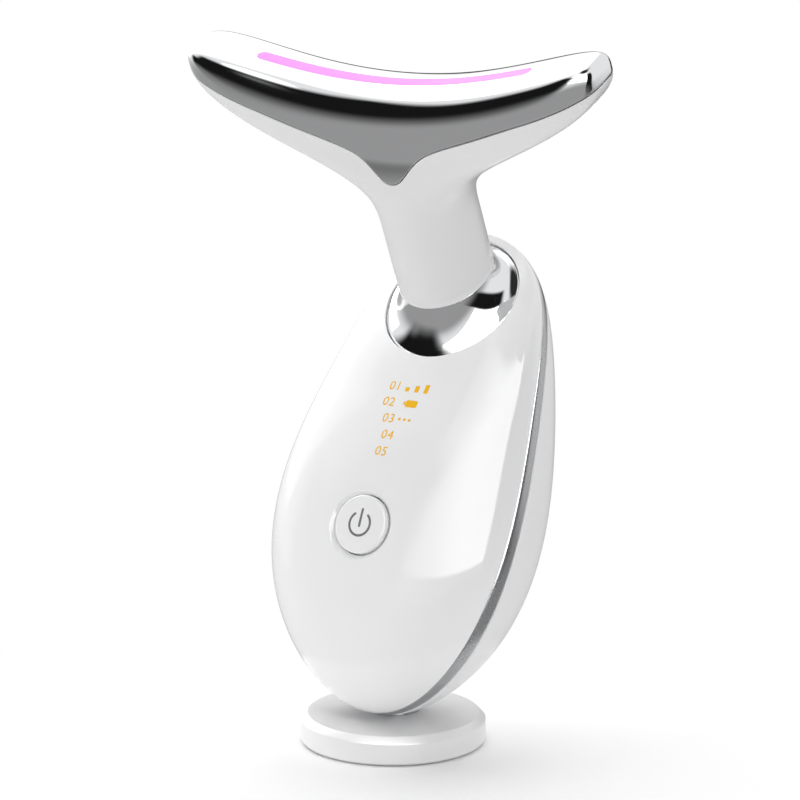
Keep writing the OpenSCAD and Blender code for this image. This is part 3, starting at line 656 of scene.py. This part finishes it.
ring_tool = rounded_line([(0, -through, 0), (hole, -through, 0), (hole, -dish_deep, 0.12),
                          (button_r + button_ring, -dish_edge, 0.5), (dish_reach, 0.5, 0),
                          (0, 1.2, 0)])
seat_tool = rounded_line([(0, -through, 0), (skirt_r + seat_play, -through, 0),
                          (skirt_r + seat_play, -seat_depth, 0),
                          (collar_r + seat_play, -seat_depth, 0),
                          (collar_r + seat_play, clear, 0), (0, clear, 0)])
cut_away(front, [turned(ring_tool, 128, at_button), turned(seat_tool, 160, on_seat)])
dress(front, "handle", "white_gloss", white_gloss, "front_shell")
dress(solid("handle_posts", posts, in_handle), "handle", "white_gloss", white_satin)

rear = solid("handle_rear", shell(behind(band_gap), shell_rows, shell_columns, -90, False),
             in_handle)
port_v, port_w, port_h, port_reach = 30.0, 9.4, 3.7, 40
plate_y, plate_hole_r, plate_hole_z = 1.5, 5.15, 7.8
cut_away(rear, [stadium(port_w/2, port_h, 0, port_reach,
                        in_handle @ shift(0, 0, port_v) @ turn(-90), 16),
                turned([(0, 0), (plate_hole_r, 0), (plate_hole_r, plate_hole_z),
                        (0, plate_hole_z)], 64, shift(0, plate_y, 0))])
dress(rear, "handle", "white_plastic", white_satin, "rear_shell")


# ------------------------------------------------------------
# Trim. One closed silver-lacquered ABS band laid in the parting line between the two shells,
# wider at the bottom and rounded along both edges; the shells clamp it.
# Each point: share across the band, depth under the skin.
trim_profile = [(0, 1.7), (0, 0.34), (0.03, 0.16), (0.1, 0.06), (0.3, 0.02), (0.5, 0.01),
                (0.7, 0.02), (0.9, 0.06), (0.97, 0.16), (1, 0.34), (1, 1.7)]
trim = np.stack([cut_loop(lambda v, u=u: parting(v) - band(v)*u, k, 2*shell_rows)
                 for u, k in trim_profile])
silver = finish("silver_lacquer", (0.42, 0.425, 0.435), (0.38, 0.385, 0.395), (0.24, 0.32),
                patch=50, grain=1500, depth=4e-7, metal=0.85, worn=0.25)
trim_piece = solid("silver_trim", [(trim, True, True)], in_handle, crease=28)
dress(trim_piece, "handle", "silver_trim", silver, "trim_band")


# ------------------------------------------------------------
# Power button. A round glossy cap with a softly rounded rim that slides in its hole, on a lip
# and a stem that reach the switch; the power sign is a thin grey print on its face.
cap_proud, cap_crown, cap_flat, cap_rim, stem_r = 0.25, 0.18, 0.6, 0.5, 1.5
lip_sink, lip_thick, lip_r = 2.9, 1, 7.8
switch_tall, plunger_tall, stem_play = 2.2, 0.7, 0.1
stem_end = button_n - board_n - switch_tall - plunger_tall - stem_play


def cap_face(x, y):
    """Height of the cap's softly crowned face over a point."""
    return cap_proud - cap_crown*(x*x + y*y)/(button_r - cap_flat)**2


cap_line = rounded_line([
    (0, -stem_end, 0), (stem_r, -stem_end, 0), (stem_r, -lip_sink - lip_thick, 0),
    (lip_r, -lip_sink - lip_thick, 0), (lip_r, -lip_sink, 0), (button_r, -lip_sink, 0),
    (button_r, cap_proud - cap_crown, cap_rim), (0, cap_proud, 0)], 7)[:-1]
cap_line += [(r, cap_face(r, 0)) for r in np.linspace(button_r - cap_flat, 0, 12)]
cap = solid("button_cap", [turned(cap_line, 128)], at_button)
dress(cap, "button", "white_gloss", white_gloss, "power_button")

sign_r, sign_line, sign_open, sign_top, sign_low = 2.55, 0.52, 40.0, 3.1, -0.5


def print_strip(line, width, lift, thick, face):
    """A flat printed line with round ends along (x, y) points, laid on a face of heights."""
    line = np.array(line, float)
    along = np.gradient(line, axis=0)
    along /= np.linalg.norm(along, axis=1, keepdims=True)
    side = np.stack([-along[:, 1], along[:, 0]], 1)
    ends = []
    for at, way in ((line[-1], along[-1]), (line[0], -along[0])):
        a = np.radians(np.arange(75, -90, -15))
        normal = np.array([-way[1], way[0]])
        ends.append(at + width/2*(np.outer(np.cos(a), way) + np.outer(np.sin(a), normal)))
    outline = np.concatenate([line + side*width/2, ends[0], (line - side*width/2)[::-1],
                              ends[1]])
    middle = np.concatenate([line, np.repeat(line[-1:], len(ends[0]), 0), line[::-1],
                             np.repeat(line[:1], len(ends[1]), 0)])
    rows = []
    for xy, h in ((middle, lift), (outline, lift), (outline, lift - thick),
                  (middle, lift - thick)):
        rows.append(np.stack([xy[:, 0], xy[:, 1], face(xy[:, 0], xy[:, 1]) + h], 1))
    return np.stack(rows), False, True


arc = np.radians(np.linspace(90 - sign_open, 90 - 360 + sign_open, 49))
grey_print = finish("grey_print", (0.17, 0.17, 0.175), (0.14, 0.14, 0.145), (0.3, 0.4),
                    patch=400, grain=5000, depth=2e-6)
sign = solid("power_sign", [
    print_strip(sign_r*np.stack([np.cos(arc), np.sin(arc)], 1), sign_line, 0.03, 0.08, cap_face),
    print_strip([(0, y) for y in np.linspace(sign_top, sign_low, 9)], sign_line, 0.03, 0.08,
                cap_face)], at_button, crease=60)
dress(sign, "button", "white_gloss", grey_print)


# ------------------------------------------------------------
# Display. Lamps behind the front shell shine through small printed marks: a level sign of
# three rising bars, a battery sign, plain mode numbers and a row of dots.
mark_rows = (68.75, 65.0, 61.25, 57.5, 53.7)
mark_lift, mark_thick, digit_tall = 0.03, 0.1, 2.0


def on_front(x, v, lift):
    """Places of points (x across, v along the handle) on the front skin, lifted off it."""
    def face(x, v):
        t = np.degrees(np.arccos(1 - 2*v/egg_len))
        p = front_power(v)
        return -egg_f(t)*(1 - np.abs(x/egg_w(t))**p)**(1/p)
    step = 0.05
    y = face(x, v)
    out = np.stack([-(face(x + step, v) - y)/step, np.ones_like(y),
                    -(face(x, v + step) - y)/step], 1)
    out /= -np.linalg.norm(out, axis=1, keepdims=True)
    return np.stack([x, y, v], 1) + out*np.reshape(lift, (-1, 1))


def lamp_row_tree():
    """Geometry Nodes: rounded marks in a row, each taller than the last by Growth."""
    tree = bpy.data.node_groups.new("mark_row", "GeometryNodeTree")
    face = tree.interface
    face.new_socket("Geometry", in_out="OUTPUT", socket_type="NodeSocketGeometry")
    for label, kind in (("Count", "Int"), ("Pitch", "Float"), ("Width", "Float"),
                        ("Height", "Float"), ("Growth", "Float"), ("Radius", "Float")):
        face.new_socket(label, in_out="INPUT", socket_type="NodeSocket" + kind)
    face.new_socket("Paint", in_out="INPUT", socket_type="NodeSocketMaterial")
    outs = tree.nodes.new("NodeGroupInput").outputs
    count, pitch, width, height, growth, radius, paint = (
        Tap(tree, outs[i]) for i in range(7))
    add = Tap(tree).node
    line = add("GeometryNodeMeshLine", (), {"Count": count})
    number = add("GeometryNodeInputIndex")
    tall = height + number*growth
    spot = add("ShaderNodeCombineXYZ", (), {"X": number*pitch, "Y": tall*0.5})
    moved = add("GeometryNodeSetPosition", (), {"Geometry": line, "Position": spot})
    box = add("GeometryNodeCurvePrimitiveQuadrilateral", (), {"Width": 1.0, "Height": 1.0})
    size = add("ShaderNodeCombineXYZ", (), {"X": width, "Y": tall, "Z": 1.0})
    spread = add("GeometryNodeInstanceOnPoints", (), {"Points": moved, "Instance": box,
                                                      "Scale": size})
    real = add("GeometryNodeRealizeInstances", (), {"Geometry": spread})
    soft = add("GeometryNodeFilletCurve", {"mode": "POLY"}, {"Curve": real, "Count": 4,
                                                             "Radius": radius})
    filled = add("GeometryNodeFillCurve", {"mode": "NGONS"}, {"Curve": soft})
    painted = add("GeometryNodeSetMaterial", (), {"Geometry": filled, "Material": paint})
    add("NodeGroupOutput", (), {0: painted})
    return tree


def raise_marks(name, parts):
    """Flat (mesh, x, v, scale) parts laid on the front skin as thin solid marks."""
    points, faces = [], []
    for mesh, x, v, scale in parts:
        body = bmesh.new()
        body.from_mesh(mesh)
        bmesh.ops.remove_doubles(body, verts=body.verts, dist=1e-5)
        base, n = len(points), len(body.verts)
        body.verts.index_update()
        flat = np.array([(p.co.x*scale + x, p.co.y*scale + v) for p in body.verts])
        for lift in (mark_lift, mark_lift - mark_thick):
            points.extend(on_front(flat[:, 0], flat[:, 1], lift).tolist())
        for f in body.faces:
            ring_ids = [base + p.index for p in f.verts]
            if f.normal.z < 0:
                ring_ids.reverse()
            faces.append(ring_ids)
            faces.append([i + n for i in reversed(ring_ids)])
        for e in body.edges:
            if len(e.link_faces) == 1:
                loop = e.link_faces[0].loops[0]
                while loop.edge != e:
                    loop = loop.link_loop_next
                a, b = base + loop.vert.index, base + loop.link_loop_next.vert.index
                if e.link_faces[0].normal.z < 0:
                    a, b = b, a
                faces.append([b, a, a + n, b + n])
        body.free()
    mesh = bpy.data.meshes.new(name)
    mesh.from_pydata((placed(np.array(points), in_handle)*MM).tolist(), [], faces)
    body = bmesh.new()
    body.from_mesh(mesh)
    bmesh.ops.recalc_face_normals(body, faces=body.faces)
    body.to_mesh(mesh)
    body.free()
    finish_mesh(mesh, 60, 0.2)
    return added(name, mesh)


def mark_row(tree, paint, **sizes):
    """Runs the mark tree with its sizes and returns the flat mesh it makes."""
    holder = added("mark_holder", bpy.data.meshes.new("mark_holder"))
    step = holder.modifiers.new("marks", "NODES")
    step.node_group = tree
    for item in tree.interface.items_tree:
        if item.item_type == "SOCKET" and item.in_out == "INPUT":
            step[item.identifier] = paint if item.name == "Paint" else sizes[item.name]
    mesh = baked(holder)
    bpy.data.objects.remove(holder)
    return mesh


def digits(text):
    """A plain number as a flat mesh, one unit tall, centred on its middle."""
    curve = bpy.data.curves.new("digits", "FONT")
    curve.body, curve.align_x, curve.resolution_u = text, "CENTER", 4
    curve.space_character = 1.1
    holder = added("digits", curve)
    mesh = baked(holder)
    bpy.data.objects.remove(holder)
    tall = max(p.co.y for p in mesh.vertices)
    for p in mesh.vertices:
        p.co = (p.co.x/tall, p.co.y/tall - 0.5, 0)
    return mesh


amber = finish("lit_amber", (0.80, 0.43, 0.012), (0.83, 0.47, 0.02), (0.4, 0.5), patch=300,
               grain=2500, depth=1e-6, glow=0.8, shine=0.1)
row_tree = lamp_row_tree()
bars = mark_row(row_tree, amber, Count=3, Pitch=2.35, Width=1.0, Height=0.95, Growth=0.55,
                Radius=0.12)
dots = mark_row(row_tree, amber, Count=3, Pitch=1.25, Width=0.62, Height=0.62, Growth=0.0,
                Radius=0.3)
cell = mark_row(row_tree, amber, Count=1, Pitch=0.0, Width=2.9, Height=1.6, Growth=0.0,
                Radius=0.35)
tip = mark_row(row_tree, amber, Count=1, Pitch=0.0, Width=0.42, Height=0.8, Growth=0.0,
               Radius=0.1)
parts = [(bars, -0.2, mark_rows[0] - 1.0, 1), (cell, 2.3, mark_rows[1] - 0.8, 1),
         (tip, 0.5, mark_rows[1] - 0.4, 1), (dots, 0.95, mark_rows[2] - 0.31, 1)]
for number, at in (("01", -3.4), ("02", -3.4), ("03", -1.75), ("04", -0.4), ("05", -0.4)):
    parts.append((digits(number), at, mark_rows[int(number) - 1], digit_tall))
marks = raise_marks("display_marks", parts)
dress(marks, "handle", "amber_led", amber)


# ------------------------------------------------------------
# Collar. A chromed ABS ring that flares from the neck down to the front shell, seated in a
# shallow round pocket and held from inside by two screws.
chrome = finish("chrome_plate", (0.77, 0.775, 0.785), (0.74, 0.745, 0.755), (0.03, 0.07),
                patch=45, grain=900, depth=6e-7, metal=1.0, worn=0.1, worn_rough=0.08)
collar_h, top_shift, collar_lip, skirt_h, edge_bevel, flare_foot = (
    5.8819, 2.7043, 0.6, 1.9, 0.1, 0.15)
neck_r, neck_lean, neck_cut, bore_r = 10.7, 24.2, 12.0, 8.5
seat_lean = 90 - seat_tilt - handle_lean
top_slope = neck_cut + neck_lean - seat_lean
flare_steps, flare_start, collar_columns = 40, 0.16, 192
collar_turns = 360*np.arange(collar_columns)/collar_columns


def collar_ring(r, height, shift_y, slope):
    """A round of the collar in the seat's frame, its plane sloped front to back."""
    y = r*sine(collar_turns)
    return np.stack([r*cosine(collar_turns), y + shift_y,
                     height + y*math.tan(math.radians(slope))], 1)


def flare(s):
    """A round of the flared skin, from the seat at 0 to the neck at 1, on a quarter ellipse."""
    s = flare_start + (1 - flare_start)*s
    low_e, low_r = 1 - cosine(90*flare_start), sine(90*flare_start)
    e = (1 - cosine(90*s) - low_e)/(1 - low_e)
    r = collar_r + (neck_r - collar_r)*(sine(90*s) - low_r)/(1 - low_r)
    y = r*sine(collar_turns)
    return np.stack([r*cosine(collar_turns), y + top_shift*e,
                     collar_h*e + y*math.tan(math.radians(top_slope))*e], 1)


flare_rows = [flare(s) for s in np.linspace(0, 1, flare_steps + 1)[1:]]
top = flare_rows.pop()
top_inner = collar_ring(bore_r, collar_h, top_shift, top_slope)
lean_in = math.radians(seat_lean - neck_lean)
drop = collar_h + collar_lip + skirt_h
low_inner = collar_ring(bore_r/math.cos(lean_in), -collar_lip - skirt_h,
                        top_shift - drop*math.tan(lean_in), 0)
collar_rings = ([low_inner, collar_ring(skirt_r, -collar_lip - skirt_h, 0, 0),
                 collar_ring(skirt_r, -collar_lip, 0, 0),
                 collar_ring(collar_r - edge_bevel, -collar_lip, 0, 0),
                 collar_ring(collar_r, -collar_lip + edge_bevel, 0, 0),
                 collar_ring(collar_r, -flare_foot, 0, 0)]
                + flare_rows + rounded_rim(flare_rows[-1], top, top_inner, 0.05)
                + [top_inner])
collar = solid("chrome_collar", [(np.stack(collar_rings), True, True)], on_seat)
dress(collar, "handle", "chrome", chrome, "collar")


# ------------------------------------------------------------
# Head housing. The satin white neck spreads into two wings under the chrome plate; one
# hollow ABS moulding with a bore for the neck core.
head_y, head_z = 0.8, 142.4
in_head = shift(0, head_y, head_z) @ turn(neck_lean)
head_half, head_depth, head_arc, crown, power_front, power_rear = (
    50.8, 9.0, 112.0, 7.9, 3.92, 5.0)
neck_low, rim_u, wing_low, bore_top = -47.28, 3.2, -32.0, -33.7
tongue_len, tongue_half, seam_gap, plate_wall = 7.8, 5.65, 0.25, 1.2
seam_edge, seam_sag, seam_reach = 1, 2.5, 33
housing_wall = neck_r - bore_r + 0.3
head_columns, head_rows = 288, 90


def ease(x):
    """Rises softly from 0 at 0 to 1 at 1."""
    c = np.clip(x, 0, 1)
    return c*c*(3 - 2*c)


# A level u of the head, from the neck's foot to the rim: its half width, half depth and
# superellipse power, and how it bends down towards the wing tips.
def level_half(u):
    c = np.clip((u - wing_low)/(rim_u - wing_low), 0, 1)
    return neck_r + (head_half - neck_r)*(1 - (1 - c)**2)**3.1


def level_depth(u):
    return neck_r + (head_depth - neck_r)*ease((u + 26)/22)


def level_power(u, side):
    return 2 + np.where(side < 0, power_front - 2, power_rear - 2)*ease((u + 25.6)/20)


def level_bend(u):
    return ease((u + 40)/12)/(2*head_arc)


def level_height(u):
    return u - level_bend(u)*level_half(u)**2


def round_off(q, p):
    return np.maximum(0, 1 - np.abs(q)**p)**(1/p)


def head_point(u, q, side, k, up=0.0):
    """Point at level u and share q of its half width, on side -1 front or 1, sunk by k."""
    p, x = level_power(u, side), (level_half(u) - k)*q
    g = side*(level_depth(u) - k)*round_off(q, p)
    tilt = math.tan(math.radians(neck_cut))*(1 - ease((u + 47)/14))
    return np.stack([x, g, level_height(u) + level_bend(u)*x*x + tilt*g + up], -1)


# Columns run up the neck and out along the wings, closest together at the tongue; each is
# placed by col_x, where it crosses the seam between the housing and the plate.
rim_h = float(level_height(rim_u))
turns = 360*np.arange(head_columns)/head_columns
col_f = np.abs(90 - turns % 180)/90
col_sign = np.where((turns > 90) & (turns < 270), -1.0, 1.0)
col_side = np.where(turns < 180, 1.0, -1.0)
col_x = head_half*sine(90*col_f**1.4)
seam_drop = seam_edge + seam_sag*(1 - ease(col_x/seam_reach))**0.8 + np.where(
    col_side < 0, tongue_len/(1 + (col_x/tongue_half)**2.4), 0)
low, high = np.full(head_columns, -40.0), np.full(head_columns, rim_u)
for _ in range(40):
    m = (low + high)/2
    above_seam = level_height(m) > rim_h - seam_drop
    low, high = np.where(above_seam, low, m), np.where(above_seam, m, high)
seam = (low + high)/2
seam_share = np.minimum(1, col_x/level_half(seam))
col_keep = 1 - ease((seam_share - 0.35)/0.4)


def low_share(f, u):
    """Each column's share of the half width between the neck's foot (f 0) and the seam."""
    start = sine(90*col_f)
    x = neck_r*start + (col_x - neck_r*start)*f**1.6
    share = (col_keep*np.minimum(1, x/level_half(u))
             + (1 - col_keep)*(start + (seam_share - start)*f))
    for quarter in np.split(np.arange(head_columns), 4):
        outward = quarter[np.argsort(col_f[quarter])]
        share[outward] = np.sort(share[outward])
    return col_sign*share


def high_share(u):
    """The same above the seam."""
    return col_sign*(col_keep*np.minimum(1, col_x/level_half(u)) + (1 - col_keep)*seam_share)


def housing_ring(f, k, lift, low):
    """A round of the housing, from its foot at 0 to the seam at 1."""
    u = low + (seam - low)*f
    return head_point(u, low_share(f, u), col_side, k, lift*ease((u + 34)/16)*(1 - f**4))


outer = [housing_ring(f, 0, 0, neck_low) for f in np.linspace(0, 1, head_rows + 1)**0.85]
inner = [housing_ring(f, housing_wall, housing_wall, bore_top) for f in np.linspace(1, 0, 31)]
start = sine(90*col_f)
bore_y = col_side*bore_r*np.sqrt(np.maximum(0, 1 - start**2))
bore = [np.stack([col_sign*bore_r*start, bore_y, z + slope*bore_y], 1)
        for z, slope in ((bore_top, 0), (neck_low, math.tan(math.radians(neck_cut))))]
# The neck and wings are the same white plastic as the rear shell. This darker copy of its satin
# paints shade into their tone.
neck_satin_painted_shade = finish("neck_satin_painted_shade", (0.71, 0.71, 0.715), (0.695, 0.695, 0.70), (0.22, 0.30),
                    patch=35, grain=1200, depth=4e-7, shine=0.45)
housing = solid("neck_and_wings", [(np.stack(
    outer[:-1] + rounded_rim(outer[-2], outer[-1], inner[0], 0.2) + inner + bore),
    True, True)], in_head, crease=40)
dress(housing, "handle", "white_plastic", neck_satin_painted_shade, "head_housing")


# ------------------------------------------------------------
# Contact plate. Mirror chrome over ABS, crowned on top, with a tongue that runs down the
# middle of the front; its lower edge follows the housing at a thin even seam.
plate_rim_rows, plate_cap_rows = 26, 84
strip_half, strip_w, strip_gap, slot_low, slot_high = 34.0, 2.6, 0.15, -4.1, 12


def rim_ring(f, k):
    """A round of the plate's side, from the seam at 0 to the rim at 1."""
    u = seam + (rim_u - seam)*f
    return head_point(u, high_share(u), col_side, k, seam_gap*(1 - f))


def crown_power(q, p):
    """How squarely the crown falls off towards the share q of the rim's half width."""
    return 2.71 + 0.75*np.abs(q)**p


def cap_rings(k, rows):
    """Rings of the crowned top from the rim to its middle, in even steps down each column."""
    q, p = high_share(rim_u), level_power(rim_u, col_side)
    n = crown_power(q, p)[:, None]
    r = (1 - np.linspace(0, 1, 500)**3)[None, :]
    x = r*((head_half - k)*q)[:, None]
    g = r*(col_side*(head_depth - k)*round_off(q, p))[:, None]
    z = rim_h + x*x/(2*head_arc) + (crown - k)*(1 - r**n)**(1/n)
    lines = np.stack([x, g, z], 2)
    run = np.cumsum(np.linalg.norm(np.diff(lines, axis=1), axis=2), axis=1)
    run = np.concatenate([np.zeros((len(q), 1)), run], 1)
    rings = np.zeros((rows, len(q), 3))
    for j in range(len(q)):
        want = np.linspace(0, run[j, -1], rows + 1)[1:]
        for c in range(3):
            rings[:, j, c] = np.interp(want, run[j], lines[j, :, c])
    rings[-1] = (0, 0, rim_h + crown - k)
    return list(rings)


def plate_skin(k, rim_rows, cap_rows):
    return [rim_ring(f, k) for f in np.linspace(0, 1, rim_rows + 1)] + cap_rings(k, cap_rows)


outer = plate_skin(0, plate_rim_rows, plate_cap_rows)
inner = plate_skin(plate_wall, 8, 24)
plate = solid("chrome_plate", [(np.stack(
    inner[::-1] + rounded_rim(outer[1], outer[0], inner[0], 0.15)[::-1] + outer[1:]),
    False, True)], in_head, crease=40)
cut_away(plate, [stadium(strip_half + strip_gap, strip_w + 2*strip_gap, slot_low, slot_high,
                         in_head, 20)], crease=40)
dress(plate, "handle", "chrome", chrome, "contact_plate")


# ------------------------------------------------------------
# Light strip. A pink diffuser bar let into the plate's slot, flush with the crowned top, lit
# from below by a row of lamps on a curved board.
strip_steps, end_steps, strip_depth = 90, 13, 2.6


def plate_top(x, y):
    """Height of the plate's crowned top over a point."""
    p = np.where(y < 0, power_front, power_rear)
    r = (np.abs(x/head_half)**p + np.abs(y/head_depth)**p)**(1/p)
    q = np.where(r > 1e-9, np.abs(x/head_half)/np.maximum(r, 1e-9), 0)
    n = crown_power(q, p)
    return rim_h + x*x/(2*head_arc) + crown*(1 - r**n)**(1/n)


straight = np.linspace(-1, 1, strip_steps)*(strip_half - strip_w/2)
half_w = strip_w/2 + 0.08
spine = np.concatenate([straight, np.full(end_steps, straight[-1]), straight[::-1],
                        np.full(end_steps, straight[0])])
b = np.linspace(-math.pi/2, math.pi/2, end_steps + 2)[1:-1]
off_x = np.concatenate([np.zeros(strip_steps), np.cos(b), np.zeros(strip_steps), -np.cos(b)])
off_y = np.concatenate([-np.ones(strip_steps), np.sin(b), np.ones(strip_steps), -np.sin(b)])
strip_rows = []
for f, lift in ((0, 0.06), (0.35, 0.055), (0.65, 0.04), (0.85, 0.01), (0.96, -0.05),
                (1, -0.16), (1, -1.2), (1, -strip_depth), (0, -strip_depth)):
    x, y = spine + off_x*half_w*f, off_y*half_w*f
    strip_rows.append(np.stack([x, y, plate_top(x, y) + lift], 1))
strip_glow = finish("lit_pink", (0.955, 0.40, 0.955), (0.94, 0.37, 0.945), (0.4, 0.5),
                    patch=120, grain=2500, depth=1e-6, glow=0.85, shine=0.1)
strip = solid("diffuser_strip", [(np.stack(strip_rows), False, True)], in_head, crease=50)
dress(strip, "handle", "pink_strip", strip_glow, "light_strip")


# ------------------------------------------------------------
# Inner and lower parts, shown with the shapes of the CAD model: boards, lamps, heater film,
# motor, battery, screws, charging inlet, dock plate, weight, magnet and rubber foot.
inner_finishes = {
    "board": finish("green_board", (0.03, 0.16, 0.07), (0.02, 0.12, 0.05), (0.35, 0.5),
                    patch=300, grain=2500, depth=1e-5, coat=0.4),
    "led": finish("clear_resin", (0.88, 0.8, 0.82), None, (0.1, 0.2), patch=300, grain=3000,
                  depth=3e-6),
    "film": finish("amber_film", (0.42, 0.2, 0.05), (0.36, 0.16, 0.04), (0.2, 0.35),
                   patch=200, grain=1500, depth=5e-6),
    "dark_plastic": finish("black_moulding", (0.02, 0.02, 0.022), (0.03, 0.03, 0.032),
                           (0.4, 0.55), patch=200, grain=3500, depth=1e-5),
    "white_plastic": white_satin,
    "grey_plastic": finish("grey_abs", (0.27, 0.27, 0.285), (0.24, 0.24, 0.25), (0.35, 0.5),
                           patch=120, grain=3000, depth=1e-5),
    "steel": finish("plain_steel", (0.5, 0.51, 0.53), (0.44, 0.45, 0.47), (0.25, 0.4),
                    patch=150, grain=2500, depth=5e-6, metal=1.0),
    "rubber": finish("black_rubber", (0.018, 0.018, 0.018), (0.026, 0.026, 0.026), (0.6, 0.8),
                     patch=150, grain=2500, depth=2e-5),
    "amber_led": amber,
    "battery_foil": finish("foil_pouch", (0.5, 0.51, 0.53), (0.42, 0.43, 0.45), (0.3, 0.45),
                           patch=150, grain=900, depth=3e-5, metal=0.9),
}
for row in frame["record"]["subparts"]:
    node = frame["nodes"][row["node"]]
    if not node.hide_render:
        node.data.materials.clear()
        node.data.materials.append(inner_finishes[row["material_slot"]])

low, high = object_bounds()
